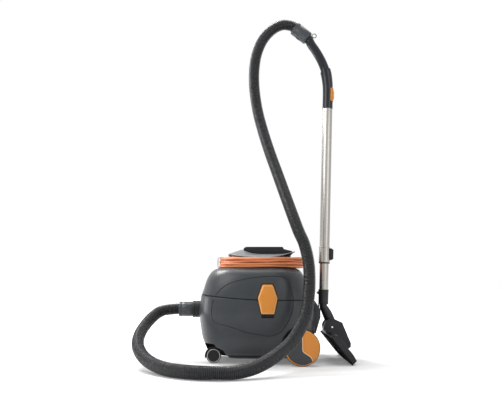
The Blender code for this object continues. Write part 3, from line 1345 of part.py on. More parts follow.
def clutch(frame, finishes):
    """The collar that locks the two tubes, with its sprung release pad."""
    outer_bore = OUTER_TUBE_RADIUS + SEAT_GAP
    inner_bore = INNER_TUBE_RADIUS + RUN_GAP
    shoulder = OUTER_TUBE_FOOT - SEAT_GAP
    collar = turned("telescope_collar",
                    [(CLUTCH_TOP_RADIUS, CLUTCH_TOP), (CLUTCH_FOOT_RADIUS, CLUTCH_FOOT + 0.004),
                     (CLUTCH_FOOT_RADIUS - 0.001, CLUTCH_FOOT), (inner_bore, CLUTCH_FOOT),
                     (inner_bore, shoulder), (outer_bore, shoulder), (outer_bore, CLUTCH_TOP)],
                    finishes["black"], parent=frame, bored=True, steps=20)
    wall = 0.0022
    floor = RELEASE_REACH - 0.0088 - RELEASE_TRAVEL
    half = RELEASE_HALF_WIDTH + RUN_GAP
    housing = box("release_housing", (outer_bore, -half - wall, RELEASE_FOOT - RUN_GAP - wall),
                  (RELEASE_REACH - 0.005, half + wall, RELEASE_TOP + RUN_GAP + wall),
                  parent=frame, helper=True)
    clear = rod("release_clear", outer_bore, CLUTCH_FOOT - 0.01, CLUTCH_TOP + 0.01, parent=frame,
                helper=True, steps=28)
    combine(housing, clear, "DIFFERENCE")
    room = box("release_room", (floor, -half, RELEASE_FOOT - RUN_GAP),
               (RELEASE_REACH + 0.01, half, RELEASE_TOP + RUN_GAP), parent=frame, helper=True)
    add(collar, housing)
    cut(collar, room)
    low = (floor + RELEASE_TRAVEL + SEAT_GAP, -RELEASE_HALF_WIDTH, RELEASE_FOOT)
    high = (RELEASE_REACH, RELEASE_HALF_WIDTH, RELEASE_TOP)
    box("telescope_release", low, high, finishes["black"], parent=frame, bevel=0.002)


def handle_knots():
    """The handle's centre line in world space, from the top of the tube to the cuff."""
    foot = wand_point(OUTER_TUBE_TOP + SEAT_GAP)
    mouth = Vector(HANDLE_CUFF_MOUTH)
    heading = cuff_heading()
    inside = mouth + heading * (HANDLE_CUFF_LENGTH - handle_plug_depth())
    outside = mouth + heading * (HANDLE_CUFF_LENGTH + 0.004)
    middle = [(x, 0.0, z) for x, z in HANDLE_ROUTE]
    path = smooth_path([tuple(foot), *middle, tuple(outside)], 0.020)
    return [Vector(p) for p in path] + [inside]


def wand_handle(frame, finishes):
    knots = handle_knots()
    bend = 1.00
    radii = [HANDLE_RADIUS if p.z < bend else HANDLE_NECK_RADIUS for p in knots]
    spigot = OUTER_TUBE_RADIUS - OUTER_TUBE_WALL - 2 * SEAT_GAP
    foot = wand_point(OUTER_TUBE_TOP - SPIGOT_LENGTH)
    shoulder = wand_point(OUTER_TUBE_TOP + SEAT_GAP - 0.0001)
    body = tube("wand_handle", [foot, shoulder, *knots], [spigot, spigot, *radii],
                finishes["handle"], sides=3)
    start = wand_point(OUTER_TUBE_TOP - SPIGOT_LENGTH - 0.003)
    beyond = knots[-1] + (knots[-1] - knots[-2]).normalized() * 0.004
    airway = tube("handle_airway", [start, *knots[1:-1], beyond],
                  [HANDLE_BORE] * (len(knots)), helper=True, sides=2)
    cut(body, airway)
    slider_face = HANDLE_RADIUS + SLIDER_PROUD
    pad = plate("suction_slider",
                [(0.0, SLIDER_FOOT), (slider_face - 0.0035, SLIDER_FOOT),
                 (slider_face, SLIDER_FOOT + 0.010), (slider_face, SLIDER_TOP - 0.014),
                 (slider_face - 0.0035, SLIDER_TOP), (0.0, SLIDER_TOP)],
                SLIDER_HALF_WIDTH, finishes["trim"])
    pad.parent = frame
    clear = rod("slider_clear", HANDLE_RADIUS + RUN_GAP, SLIDER_FOOT - 0.02, SLIDER_TOP + 0.02,
                parent=frame, helper=True, steps=32)
    cut(pad, clear)
    heading = cuff_heading()
    up = Vector((-heading.z, 0.0, heading.x))
    reach = HANDLE_NECK_RADIUS + EYE_RADIUS + SEAT_GAP - EYE_SINK
    eye_at = Vector(HANDLE_CUFF_MOUTH) + heading * (HANDLE_CUFF_LENGTH + 0.0105) + up * reach
    circle = [eye_at + (heading * math.cos(a) + up * math.sin(a)) * EYE_RADIUS
              for a in np.linspace(math.radians(-90), math.radians(258), 13)]
    tube("hanging_eye", circle, [EYE_WIRE] * len(circle), finishes["black"], sides=1)


# ---------------------------------------------------------------- nozzle
def nozzle_socket(frame, finishes):
    """The socket on the inner tube, with the parking hook and the stud that hangs in the dock."""
    tube_bore = INNER_TUBE_RADIUS + SEAT_GAP
    profile = [(SOCKET_RADIUS, SOCKET_TOP), (SOCKET_RADIUS, 0.0), (SOCKET_AIRWAY, 0.0),
               (SOCKET_AIRWAY, SOCKET_DEPTH), (tube_bore, SOCKET_DEPTH), (tube_bore, SOCKET_TOP)]
    socket = turned("nozzle_socket", profile, finishes["nozzle"], parent=frame, bored=True,
                    steps=20)
    lean = math.radians(WAND_LEAN)
    foot = Vector(WAND_FOOT)
    drop = (STUD_HEIGHT - foot.z) / math.cos(lean)
    tab = box("stud_tab", (-SOCKET_RADIUS + 0.0002, -STUD_STEM_RADIUS, drop - STUD_STEM_RADIUS),
              (-SOCKET_AIRWAY - 0.0004, STUD_STEM_RADIUS, SOCKET_DEPTH - 0.001), parent=frame,
              helper=True)
    wall_back = BODY_REAR + DOCK_REACH
    head_back = wall_back - STUD_WALL - RUN_GAP
    stem_end = foot.x - SOCKET_RADIUS + 0.002
    stud = turned("dock_stud",
                  [(0.0, stem_end), (STUD_STEM_RADIUS, stem_end), (STUD_STEM_RADIUS, head_back),
                   (STUD_HEAD_RADIUS, head_back), (STUD_HEAD_RADIUS, head_back - STUD_HEAD_THICK),
                   (0.0, head_back - STUD_HEAD_THICK)],
                  axis="X", at=(0.0, 0.0, STUD_HEIGHT), helper=True, steps=12)
    hook = plate("parking_hook",
                 [(-0.0163, 0.0300), (-0.0163, 0.0450), (-0.0185, 0.0430), (-0.0245, 0.0365),
                  (-0.0185, 0.0320)], 0.0030, helper=True)
    hook.parent = frame
    add(socket, tab, stud, hook)
    return socket


def elbow(finishes):
    """The bent tube that turns in the socket and ends in the tilt barrel."""
    foot = Vector(WAND_FOOT)
    axis = (wand_point(1.0) - foot).normalized()
    neck_radius = SOCKET_AIRWAY - RUN_GAP
    centre = Vector(TILT_CENTRE)
    plug = foot + axis * (SOCKET_DEPTH - RUN_GAP - 0.0005)
    knots = [plug, foot - axis * 0.0015, foot + Vector((0.0008, 0.0, -0.0100)),
             foot + Vector((0.0062, 0.0, -0.0200)), foot + Vector((0.0140, 0.0, -0.0360)),
             centre + Vector((0.0020, 0.0, 0.010))]
    radii = [neck_radius, neck_radius, neck_radius, ELBOW_RADIUS * 0.88, ELBOW_RADIUS,
             ELBOW_RADIUS]
    body = tube("swivel_elbow", knots, radii, finishes["nozzle"], sides=3)
    barrel = rod("tilt_barrel", BARREL_RADIUS, -BARREL_HALF_WIDTH, BARREL_HALF_WIDTH, axis="Y",
                 at=TILT_CENTRE, helper=True, steps=18)
    add(body, barrel)
    start = plug + axis * 0.004
    duct_end = centre + Vector((math.sin(0.7), 0.0, -math.cos(0.7))) * (BARREL_RADIUS + 0.01)
    duct = tube("elbow_airway", [start, *knots[1:-1], centre + Vector((0.003, 0.0, 0.006)), duct_end],
                [ELBOW_BORE * 0.92] * 4 + [ELBOW_BORE] * 3, helper=True, sides=2)
    for side in (-1, 1):
        cut(body, rod(f"tilt_bore_{side + 1}", TILT_PIN_RADIUS + RUN_GAP,
                      BARREL_HALF_WIDTH - TILT_PIN_DEPTH - RUN_GAP, 0.05, at=TILT_CENTRE,
                      turn=(math.radians(-90) * side, 0.0, 0.0), helper=True, steps=12,
                      start=5.0))
    cut(body, duct)
    return body


def head_outline():
    """Side outline of the head's cover: low at the nose, with the cheeks' round at the back."""
    low = SOLE_HEIGHT + SOLE_THICK + SEAT_GAP
    return [(COVER_TAIL, low), (HEAD_NOSE - 0.0012, low),
            (HEAD_NOSE - 0.0022, SOLE_HEIGHT + NOSE_HEIGHT), (HEAD_NOSE - 0.0240, COVER_TOP),
            (COVER_TAIL + 0.006, COVER_TOP), (COVER_TAIL, COVER_TOP - 0.006)]


def duct_outline():
    """Side outline of the raised middle that holds the tilt barrel and leads air to the slot."""
    reach = BARREL_RADIUS + 0.0040
    angles = np.radians(np.linspace(112.0, 292.0, 10))
    back = [(reach * math.cos(a), reach * math.sin(a)) for a in angles]
    low = SOLE_HEIGHT + SOLE_THICK + 0.0040
    return back + [(0.0200, low), (0.0860, low), (0.0880, 0.0060), (0.0800, 0.0140),
                   (0.0100, 0.0360)]


def nozzle_head(frame, finishes):
    """Sole, cover with duct, brush strips, pedal and the tilt pin."""
    sole_outline = [(HEAD_TAIL, SOLE_HEIGHT), (HEAD_NOSE, SOLE_HEIGHT),
                    (HEAD_NOSE - 0.0010, SOLE_HEIGHT + SOLE_THICK),
                    (HEAD_TAIL, SOLE_HEIGHT + SOLE_THICK)]
    sole = plate("nozzle_sole", sole_outline, HEAD_HALF_WIDTH, finishes["nozzle"])
    sole.parent = frame
    slot = box("suction_slot", (SLOT_BACK, -SLOT_HALF_WIDTH, SOLE_HEIGHT - 0.01),
               (SLOT_FRONT, SLOT_HALF_WIDTH, SOLE_HEIGHT + SOLE_THICK + 0.01), parent=frame,
               helper=True)
    brush_half = SLOT_HALF_WIDTH
    strips = brush_places()
    rooms = [box(f"brush_slot_{k}", (x - SEAT_GAP, -brush_half - SEAT_GAP, SOLE_HEIGHT - 0.01),
                 (x + BRUSH_WIDTH + SEAT_GAP, brush_half + SEAT_GAP,
                  SOLE_HEIGHT + SOLE_THICK + 0.01), parent=frame, helper=True)
             for k, x in enumerate(strips)]
    cut(sole, slot, *rooms)
    cover = plate("nozzle_cover", head_outline(), HEAD_HALF_WIDTH - 0.0015, finishes["nozzle"])
    cover.parent = frame
    cheek = BARREL_HALF_WIDTH + RUN_GAP + CHEEK
    duct = plate("duct_hump", duct_outline(), cheek, helper=True)
    duct.parent = frame
    add(cover, duct)
    low = SOLE_HEIGHT + SOLE_THICK + SEAT_GAP
    chamber = box("suction_chamber", (SLOT_BACK - 0.002, -SLOT_HALF_WIDTH, low - 0.01),
                  (SLOT_FRONT, SLOT_HALF_WIDTH, COVER_TOP - 0.004), parent=frame, helper=True)
    lead = box("duct_lead", (0.010, -0.014, low + 0.004), (SLOT_BACK, 0.014, COVER_TOP - 0.004),
               parent=frame, helper=True)
    brush_room = box("brush_room", (strips[1] - 0.001, -brush_half - 0.001, low - 0.01),
                     (strips[0] + BRUSH_WIDTH + 0.001, brush_half + 0.001, brush_top() + 0.001),
                     parent=frame, helper=True)
    half = BARREL_HALF_WIDTH + RUN_GAP
    seat = rod("barrel_seat", BARREL_RADIUS + RUN_GAP, -half, half, axis="Y", parent=frame,
               helper=True, steps=20)
    slim = ELBOW_RADIUS + 0.0030
    swing = box("elbow_swing", (-0.08, -slim, -0.0200), (ELBOW_RADIUS + 0.004, slim, 0.08),
                parent=frame, helper=True)
    pin_hole = rod("tilt_pin_hole", TILT_PIN_RADIUS + SEAT_GAP, -0.05, 0.05, axis="Y",
                   parent=frame, helper=True, steps=12, start=5.0)
    cut(cover, pedal_room(frame), chamber, lead, brush_room, seat, pin_hole, swing)
    for side in (-1, 1):
        hand = "left" if side < 0 else "right"
        rod(f"tilt_pin_{hand}", TILT_PIN_RADIUS, BARREL_HALF_WIDTH - TILT_PIN_DEPTH, cheek,
            finish=finishes["chrome"], turn=(math.radians(-90) * side, 0.0, 0.0), parent=frame,
            steps=12)
    brush(frame, finishes)
    pedal(frame, finishes)


def brush_places():
    """Back edges of the two brush strips, in front of and behind the suction slot."""
    return SLOT_FRONT + 0.0030, SLOT_BACK - 0.0030 - BRUSH_WIDTH


def brush_top():
    return SOLE_HEIGHT + SOLE_THICK + 0.0060


def brush(frame, finishes):
    """Two strips on one frame that the pedal pushes out through the sole."""
    front, back = brush_places()
    low = SOLE_HEIGHT + 0.0006
    top = brush_top()
    bar_low = SOLE_HEIGHT + SOLE_THICK + BRUSH_TRAVEL + SEAT_GAP * 2
    half = SLOT_HALF_WIDTH
    strip = box("brush_strips", (front, -half, low), (front + BRUSH_WIDTH, half, top),
                finishes["bristle"], parent=frame)
    other = box("brush_back", (back, -half, low), (back + BRUSH_WIDTH, half, top), parent=frame,
                helper=True)
    ties = [box(f"brush_tie_{k}", (back, y - 0.003, bar_low), (front + BRUSH_WIDTH, y + 0.003, top),
                parent=frame, helper=True) for k, y in enumerate((-half + 0.003, half - 0.003))]
    add(strip, other, *ties)


def pedal_centre():
    return (PEDAL_BACK + PEDAL_FRONT) / 2, COVER_TOP - 0.0005


def pedal_room(frame):
    """The opening in the cover that the pedal rocks in."""
    x, z = pedal_centre()
    low = (PEDAL_BACK - SWING_GAP, PEDAL_Y - SWING_GAP, z - PEDAL_THICK)
    high = (PEDAL_FRONT + SWING_GAP, PEDAL_Y + PEDAL_WIDTH + SWING_GAP, z + 0.02)
    return box("pedal_room", low, high, parent=frame, helper=True)


def pedal(frame, finishes):
    """A rocker on the cover, on a pin across its middle."""
    x, z = pedal_centre()
    half = (PEDAL_FRONT - PEDAL_BACK) / 2
    rise = half * math.tan(math.radians(PEDAL_SWING))
    under = [(-half, rise - 0.0055), (0.0, -0.0035), (half, rise - 0.0055)]
    outline = [(half, 0.0030), (0.0, 0.0045), (-half, 0.0030)] + under
    pad = plate("nozzle_pedal", outline, PEDAL_WIDTH / 2, finishes["nozzle"])
    pad.location = (x, PEDAL_Y + PEDAL_WIDTH / 2, z)
    pad.parent = frame
    bore = rod("pedal_bore", 0.0012 + SEAT_GAP, -0.04, 0.04, axis="Y",
               at=(x, PEDAL_Y + PEDAL_WIDTH / 2, z), parent=frame, helper=True, steps=10)
    cut(pad, bore)
    reach = PEDAL_WIDTH / 2 + SWING_GAP - SEAT_GAP
    rod("pedal_pin", 0.0012, -reach, reach, finish=finishes["steel"], axis="Y",
        at=(x, PEDAL_Y + PEDAL_WIDTH / 2, z), parent=frame, steps=10)


# ---------------------------------------------------------------- build
def merge_flat_faces():
    """Joins the triangles that Booleans leave on flat faces."""
    for obj in PARTS.objects:
        if obj.type == "MESH" and any(step.type == "BOOLEAN" for step in obj.modifiers):
            step = obj.modifiers.new("flat", "DECIMATE")
            step.decimate_type = "DISSOLVE"
            step.angle_limit = math.radians(FLAT_ANGLE)


def build():
    finishes = make_finishes()
    tank(finishes["shell"])
    tank_seal(finishes["rubber"])
    inlet_collar(finishes["black"])
    dock(finishes["dock"])
    hood(finishes["shell"])
    handle_rim(finishes["rim"])
    grip(finishes["grip"])
    power_button(finishes)
    motor_group(finishes)
    dust_bag(finishes)
    for side in (-1, 1):
        rear_wheel(side, finishes)
        caster(side, finishes)
        latch(side, finishes)
    mains_cord(finishes)
    hose(finishes["hose"])
    machine_cuff(finishes["black"])
    handle_cuff(finishes["black"])
    wand_frame = frame_empty("wand_frame", WAND_FOOT, (0.0, math.radians(WAND_LEAN), 0.0))
    wand_tubes(wand_frame, finishes)
    clutch(wand_frame, finishes)
    wand_handle(wand_frame, finishes)
    nozzle_socket(wand_frame, finishes)
    elbow(finishes)
    head_frame = frame_empty("head_frame", TILT_CENTRE, (0.0, math.radians(HEAD_PITCH), 0.0))
    nozzle_head(head_frame, finishes)
    merge_flat_faces()


clear_scene()
PARTS = new_collection("canister_vacuum")
HELPERS = new_collection("cutters")
HELPERS.hide_render = True
build()
bpy.context.view_layer.update()
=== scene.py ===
"""Looks of a canister vacuum cleaner: its pieces, finishes and studio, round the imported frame."""

import json
import math

import bpy
import numpy as np
from mathutils import Matrix, Vector


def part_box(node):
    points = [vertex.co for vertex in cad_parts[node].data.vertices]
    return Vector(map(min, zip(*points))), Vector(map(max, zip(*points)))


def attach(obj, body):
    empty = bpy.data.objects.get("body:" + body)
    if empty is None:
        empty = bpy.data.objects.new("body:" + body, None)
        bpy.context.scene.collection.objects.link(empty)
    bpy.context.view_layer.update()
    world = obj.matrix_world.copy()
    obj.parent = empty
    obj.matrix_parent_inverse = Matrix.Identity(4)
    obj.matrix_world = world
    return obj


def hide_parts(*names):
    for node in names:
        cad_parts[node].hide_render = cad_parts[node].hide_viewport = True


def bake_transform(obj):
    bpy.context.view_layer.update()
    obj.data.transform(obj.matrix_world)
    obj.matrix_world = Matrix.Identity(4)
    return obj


bl_info = {
    "name": "Canister Vacuum Cleaner",
    "version": (1, 0, 0),
    "blender": (4, 5, 0),
    "location": "View3D > Sidebar > Vacuum",
    "description": "Builds the pieces, finishes and studio of a canister vacuum cleaner",
    "category": "Object",
}

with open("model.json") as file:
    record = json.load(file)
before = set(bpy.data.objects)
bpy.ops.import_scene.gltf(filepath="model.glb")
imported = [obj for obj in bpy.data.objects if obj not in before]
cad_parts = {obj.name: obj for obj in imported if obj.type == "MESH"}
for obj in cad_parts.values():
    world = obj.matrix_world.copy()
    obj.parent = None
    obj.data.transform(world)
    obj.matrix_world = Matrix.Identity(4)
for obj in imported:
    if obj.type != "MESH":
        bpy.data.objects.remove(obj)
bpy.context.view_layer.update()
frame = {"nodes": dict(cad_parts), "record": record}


# ---------------------------------------------------------------- turns and curves
def at(place, degrees=0.0, axis="X"):
    """A place, with a turn about one axis before it."""
    return Matrix.Translation(place) @ Matrix.Rotation(math.radians(degrees), 4, axis)


def full_turn(count):
    """Angles evenly round a circle, without the last."""
    return np.linspace(0.0, math.tau, count, endpoint=False)


def eased(value, power):
    """A sine or cosine raised to a power, with its sign kept."""
    return math.copysign(abs(value) ** power, value)


def length_along(points):
    """Distance from the first point to each one."""
    return np.concatenate([[0.0], np.cumsum(np.linalg.norm(np.diff(points, axis=0), axis=1))])


# ---------------------------------------------------------------- body shell, in metres
BODY_FRONT, BODY_REAR, BODY_MID = -0.238, 0.147, -0.046
BODY_HALF_WIDTH = 0.165
BASE_HEIGHT, PARTING_HEIGHT, DECK_HEIGHT = 0.03, 0.203, 0.305
PARTING_RISE = 0.018
SHELL_WALL, PARTING_HALF_GAP = 0.0042, 0.0015
OUTLINE_POWER = 2.9
PLAN_POINTS = 144
TANK_SECTIONS = (
    (0.0, 0.042, 0.019, 0.031), (0.04, 0.03, 0.012, 0.022), (0.14, 0.0205, 0.006, 0.0125),
    (0.34, 0.0085, 0.001, 0.0045), (0.69, 0.0, 0.0, 0.0), (0.88, 0.0025, 0.004, 0.0006),
    (1.0, 0.0055, 0.009, 0.002),
)
HOOD_SECTIONS = (
    (0.0, 0.0075, 0.0105, 0.0028), (0.3, 0.015, 0.017, 0.006),
    (0.57, 0.0215, 0.026, 0.012), (0.79, 0.0325, 0.037, 0.022),
    (0.93, 0.046, 0.048, 0.036), (1.0, 0.064, 0.062, 0.053),
)
TANK_SPAN = (BASE_HEIGHT, PARTING_HEIGHT - BASE_HEIGHT)
HOOD_SPAN = (PARTING_HEIGHT, DECK_HEIGHT - PARTING_HEIGHT)
# heights and insets of the dark block under the tank, painted shade that stands in for the shadow
# beneath it
SHADE_BLOCK_SECTIONS = ((0.018, 0.056, 0.033, 0.045), (0.02, 0.049, 0.026, 0.038),
                 (0.024, 0.043, 0.02, 0.032), (0.0299, 0.041, 0.018, 0.03))
SIDE_PANEL = (
    (-0.179, 0.215), (-0.16, 0.237), (-0.129, 0.2556), (-0.082, 0.268), (-0.034, 0.2744),
    (0.016, 0.2763), (0.042, 0.271), (0.057, 0.249), (0.066, 0.218), (0.068, 0.203),
    (0.066, 0.1795), (0.056, 0.147), (0.04, 0.1195), (0.0215, 0.101), (-0.005, 0.092),
    (-0.035, 0.095), (-0.0815, 0.104), (-0.128, 0.1195), (-0.177, 0.132), (-0.188, 0.147),
    (-0.19, 0.167), (-0.188, 0.19),
)

# ---------------------------------------------------------------- latches
LATCH_X = -0.0135
LATCH_ROWS = ((0.251, 0.0165), (0.2079, 0.031), (0.1593, 0.02))
LATCH_PIVOT_HEIGHT = 0.2465
LATCH_PIN_DEPTH, LATCH_KNUCKLE = 0.0045, 0.0042
LATCH_ROOM_SPARE, LATCH_TOP_SLOPE = 0.002, 0.0043
LATCH_GAP = 0.0026
SCOOP = (-0.0335, 0.0065, 0.1473, 0.1583)
SCOOP_DEPTH = 0.011

# ---------------------------------------------------------------- inlet, cuffs and hose
INLET_HEIGHT = 0.168
CUFF_FRONT, CUFF_BACK = -0.309, -0.243
CUFF_RADIUS = 0.0245
HOSE_RADIUS, HOSE_VALLEY = 0.019, 0.0168
HOSE_SEAT = 0.025
HANDLE_CUFF_MOUTH = Vector((0.0935, 0.0, 1.1716))
HANDLE_CUFF_LENGTH = 0.062
HANDLE_CUFF_DIP = math.radians(40.0)
HANDLE_CUFF_HEADING = Vector((math.cos(HANDLE_CUFF_DIP), 0.0, -math.sin(HANDLE_CUFF_DIP)))
HOSE_ROUTE = (
    (-0.366, -0.004, 0.162), (-0.391, -0.022, 0.146), (-0.412, -0.062, 0.119),
    (-0.421, -0.118, 0.091), (-0.413, -0.18, 0.065), (-0.386, -0.243, 0.042),
    (-0.348, -0.3, 0.0275), (-0.303, -0.352, 0.0208), (-0.255, -0.391, 0.0198),
    (-0.205, -0.414, 0.0197), (-0.157, -0.42, 0.0197), (-0.109, -0.412, 0.0199),
    (-0.059, -0.388, 0.028), (-0.015, -0.357, 0.045), (0.02, -0.325, 0.065),
    (0.053, -0.291, 0.09), (0.078, -0.262, 0.123), (0.097, -0.24, 0.159),
    (0.108, -0.221, 0.207), (0.114, -0.204, 0.262), (0.1129, -0.19, 0.3213),
    (0.1018, -0.178, 0.3771), (0.0853, -0.168, 0.4182),
    (0.0672, -0.148, 0.4739), (0.0462, -0.116, 0.5432), (0.0228, -0.078, 0.6223),
    (-0.0008, -0.045, 0.7004), (-0.0237, -0.017, 0.7839), (-0.0422, 0.0, 0.8638),
    (-0.053, 0.004, 0.944), (-0.054, 0.003, 1.01), (-0.045, 0.001, 1.072),
    (-0.023, 0.0, 1.126), (0.01, 0.0, 1.165), (0.047, 0.0, 1.184),
)

# ---------------------------------------------------------------- mains cord on the deck
CORD_RADIUS, CORD_PITCH, CORD_LAYERS, CORD_TURNS = 0.0039, 0.0085, 4, 3
CORD_POINTS, CORD_SHORT, CORD_POWER = 24, 11, 2.6
CORD_X, CORD_INNER_LENGTH, CORD_INNER_WIDTH = -0.03, 0.1205, 0.0905
CORD_START = math.radians(50.0)
CORD_SWAY = 0.0014
CLIP_ANGLE, CLIP_HALF = 196.0, 0.0178
GLAND_MOUTH = Vector((-0.012, 0.0725, 0.3095))
PLUG = Vector((-0.124, -0.006, 0.3213))
PLUG_RADIUS, PLUG_LENGTH = 0.016, 0.038

# ---------------------------------------------------------------- rim, grip and wheels
RIM_X, RIM_HALF_LENGTH, RIM_HALF_WIDTH = -0.0285, 0.1145, 0.088
RIM_EDGE_HEIGHT, RIM_FRONT_LIFT, RIM_REAR_LIFT = 0.34, 0.014, 0.024
RIM_INNER_HEIGHT, RIM_THICK, RIM_POWER = 0.352, 0.003, 2.3
WELL_X, WELL_HALF_LENGTH, WELL_HALF_WIDTH, NECK_WALL = -0.0105, 0.078, 0.05, 0.0035
WHEEL_X, WHEEL_RADIUS, WHEEL_OUTER, WHEEL_WIDTH = 0.0925, 0.0565, 0.1655, 0.031
CAP_RADIUS = 0.0545
ARCH_RADIUS, ARCH_WALL = 0.0655, 0.003
CASTER_X, CASTER_Y, CASTER_TRAIL, CASTER_RADIUS = -0.17, 0.078, 0.016, 0.024
POCKET_RADIUS, POCKET_TOP, DOOR_TOP = 0.0472, 0.064, 0.0535

# ---------------------------------------------------------------- wand and nozzle
WAND_FOOT = Vector((0.1803, 0.0, 0.1845))
WAND_LEAN = math.radians(2.25)
WAND_FRAME = Matrix.Translation(WAND_FOOT) @ Matrix.Rotation(WAND_LEAN, 4, "Y")
WAND_AXIS = Vector((math.sin(WAND_LEAN), 0.0, math.cos(WAND_LEAN)))
OUTER_TUBE, OUTER_BORE, OUTER_RADIUS = (0.15, 0.685), 0.0158, 0.017
INNER_TUBE, INNER_BORE, INNER_RADIUS = (0.0106, 0.49), 0.01425, 0.01525
COLLAR_BORE = 0.01575
SLIDER_SPAN, SLEEVE_SPAN = (0.711, 0.761), (0.868, 1.026)
DOCK_HEIGHT = 0.1694       # of the stud by which the wand hangs
HANDLE_RADIUS, HANDLE_NECK_RADIUS = 0.0172, 0.016
HANDLE_ROUTE = (
    (0.2086, 0.905), (0.2096, 0.94), (0.2082, 0.972), (0.2035, 1.004),
    (0.1945, 1.033), (0.1825, 1.06), (0.168, 1.086), (0.1525, 1.11),
)
TILT_CENTRE = Vector((0.205, 0.0, 0.1095))
# ---------------------------------------------------------------- modelling helpers
def pick(*pieces):
    """Selects these pieces alone, with the first of them active."""
    if bpy.context.mode != "OBJECT":
        bpy.ops.object.mode_set(mode="OBJECT")
    bpy.ops.object.select_all(action="DESELECT")
    for piece in pieces:
        piece.select_set(True)
    if pieces:
        bpy.context.view_layer.objects.active = pieces[0]


def edit(piece):
    """Edit mode on one piece, with its whole mesh selected."""
    pick(piece)
    bpy.ops.object.mode_set(mode="EDIT")
    bpy.ops.mesh.select_all(action="SELECT")


def close_mesh(fill=True):
    """Merges doubles, fills open ends and turns the faces outwards, then leaves edit mode."""
    bpy.ops.mesh.select_all(action="SELECT")
    bpy.ops.mesh.remove_doubles(threshold=1e-6)
    bpy.ops.mesh.delete_loose()
    bpy.ops.mesh.select_all(action="SELECT")
    if fill:
        bpy.ops.mesh.fill_holes(sides=0)
        bpy.ops.mesh.select_all(action="SELECT")
    bpy.ops.mesh.normals_make_consistent(inside=False)
    bpy.ops.object.mode_set(mode="OBJECT")


def named(name):
    """Gives the newest object and its mesh a name."""
    piece = bpy.context.object
    piece.name = name
    piece.data.name = name
    return piece


def skinned(name, rows, ends=True, ring=False):
    """A grid shaped into closed loops of points, joined along its seam and closed at its ends."""
    rows = np.asarray(rows, float)
    if ring:
        rows = np.concatenate([rows, rows[:1]])
    count, across = rows.shape[:2]
    pick()
    bpy.ops.mesh.primitive_grid_add(x_subdivisions=across, y_subdivisions=count - 1, size=1.0)
    piece = named(name)
    loops = np.concatenate([rows, rows[:, :1]], axis=1)
    piece.data.vertices.foreach_set("co", loops.reshape(-1).astype(np.float32))
    edit(piece)
    close_mesh(ends and not ring)
    return piece


def soften(corners, radius, steps=3, closed=True):
    """A polygon with each corner rounded by about that radius."""
    corners = [np.array(c, float) for c in corners]
    out = []
    for k, corner in enumerate(corners):
        if not closed and k in (0, len(corners) - 1):
            out.append(corner)
            continue
        before, after = corners[k - 1], corners[(k + 1) % len(corners)]
        into, away = before - corner, after - corner
        long_in, long_out = np.linalg.norm(into), np.linalg.norm(away)
        start = corner + into * min(radius / max(long_in, 1e-9), 0.45)
        end = corner + away * min(radius / max(long_out, 1e-9), 0.45)
        for t in np.linspace(0.0, 1.0, steps + 1):
            out.append((1 - t) ** 2 * start + 2 * t * (1 - t) * corner + t * t * end)
    return out


def outlined(name, points):
    """A closed loop of vertices at these points, in edit mode."""
    pick()
    bpy.ops.mesh.primitive_circle_add(vertices=len(points), radius=1.0)
    piece = named(name)
    for vertex, point in zip(piece.data.vertices, points):
        vertex.co = point
    edit(piece)
    return piece


def spun(name, profile, place=None, steps=72, round_by=0.0, bored=False):
    """A profile of (radius, height) turned round Z by a full spin, then put in its place."""
    if round_by:
        profile = soften(profile, round_by, closed=bored)
    piece = outlined(name, [(radius, 0.0, height) for radius, height in profile])
    bpy.ops.mesh.spin(steps=steps, angle=math.tau, center=(0.0, 0.0, 0.0), axis=(0.0, 0.0, 1.0))
    close_mesh()
    return placed(piece, place)


def placed(piece, place):
    """Moves a piece by moving its mesh, so the object stays at the origin."""
    if place is not None:
        piece.data.transform(place)
        piece.data.update()
    return piece


def extruded(name, outline, depth, place=None, bevel=0.0, segments=3):
    """An outline of (x, z) extruded along Y, half each way."""
    piece = outlined(name, [(x, -depth / 2, z) for x, z in outline])
    bpy.ops.mesh.edge_face_add()
    bpy.ops.mesh.extrude_region_move(TRANSFORM_OT_translate={"value": (0.0, depth, 0.0)})
    close_mesh()
    if bevel:
        rounded(piece, bevel, segments)
    return placed(piece, place)


def block(name, low, high, bevel=0.0, segments=2, place=None):
    """A box between two corners, with its edges rounded where a bevel is given."""
    low, high = Vector(low), Vector(high)
    pick()
    bpy.ops.mesh.primitive_cube_add(size=1.0, location=(low + high) / 2, scale=high - low)
    piece = named(name)
    bpy.ops.object.transform_apply(location=True, rotation=True, scale=True)
    if bevel:
        rounded(piece, bevel, segments)
    return placed(piece, place)


def modified(piece, kind, **values):
    """A piece with a modifier set up and applied."""
    modifier = piece.modifiers.new(kind.title(), kind)
    for key, value in values.items():
        setattr(modifier, key, value)
    pick(piece)
    bpy.ops.object.modifier_apply(modifier=modifier.name)
    return piece


def rounded(piece, width, segments=2, angle=35.0):
    """Bevels the sharp edges."""
    return modified(piece, "BEVEL", width=width, segments=segments, limit_method="ANGLE",
                    angle_limit=math.radians(angle))


def cut(piece, *cutters, operation="DIFFERENCE"):
    """Cuts each cutter out of a piece, or joins or intersects it, and removes it."""
    for cutter in cutters:
        modified(piece, "BOOLEAN", operation=operation, solver="EXACT", object=cutter)
        bpy.data.objects.remove(cutter)
    return piece


def join(piece, *others):
    """One piece made of several."""
    pick(piece, *others)
    bpy.ops.object.join()
    return piece


def smooth(piece, angle=32.0):
    """Shades a piece smooth but for its sharp edges."""
    pick(piece)
    bpy.ops.object.shade_smooth_by_angle(angle=math.radians(angle))
    return piece


def dressed(piece, body, finish, slot, *replaced, angle=32.0):
    """Shades a piece, gives it its finish and makes it ride on its body; the slot is not used."""
    smooth(piece, angle)
    give_finish(piece, finish)
    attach(piece, body)
    if replaced:
        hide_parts(*replaced)
    return piece


def give_finish(piece, finish):
    """Makes one finish the only one on a piece."""
    piece.data.materials.clear()
    piece.data.materials.append(finish_called(finish))


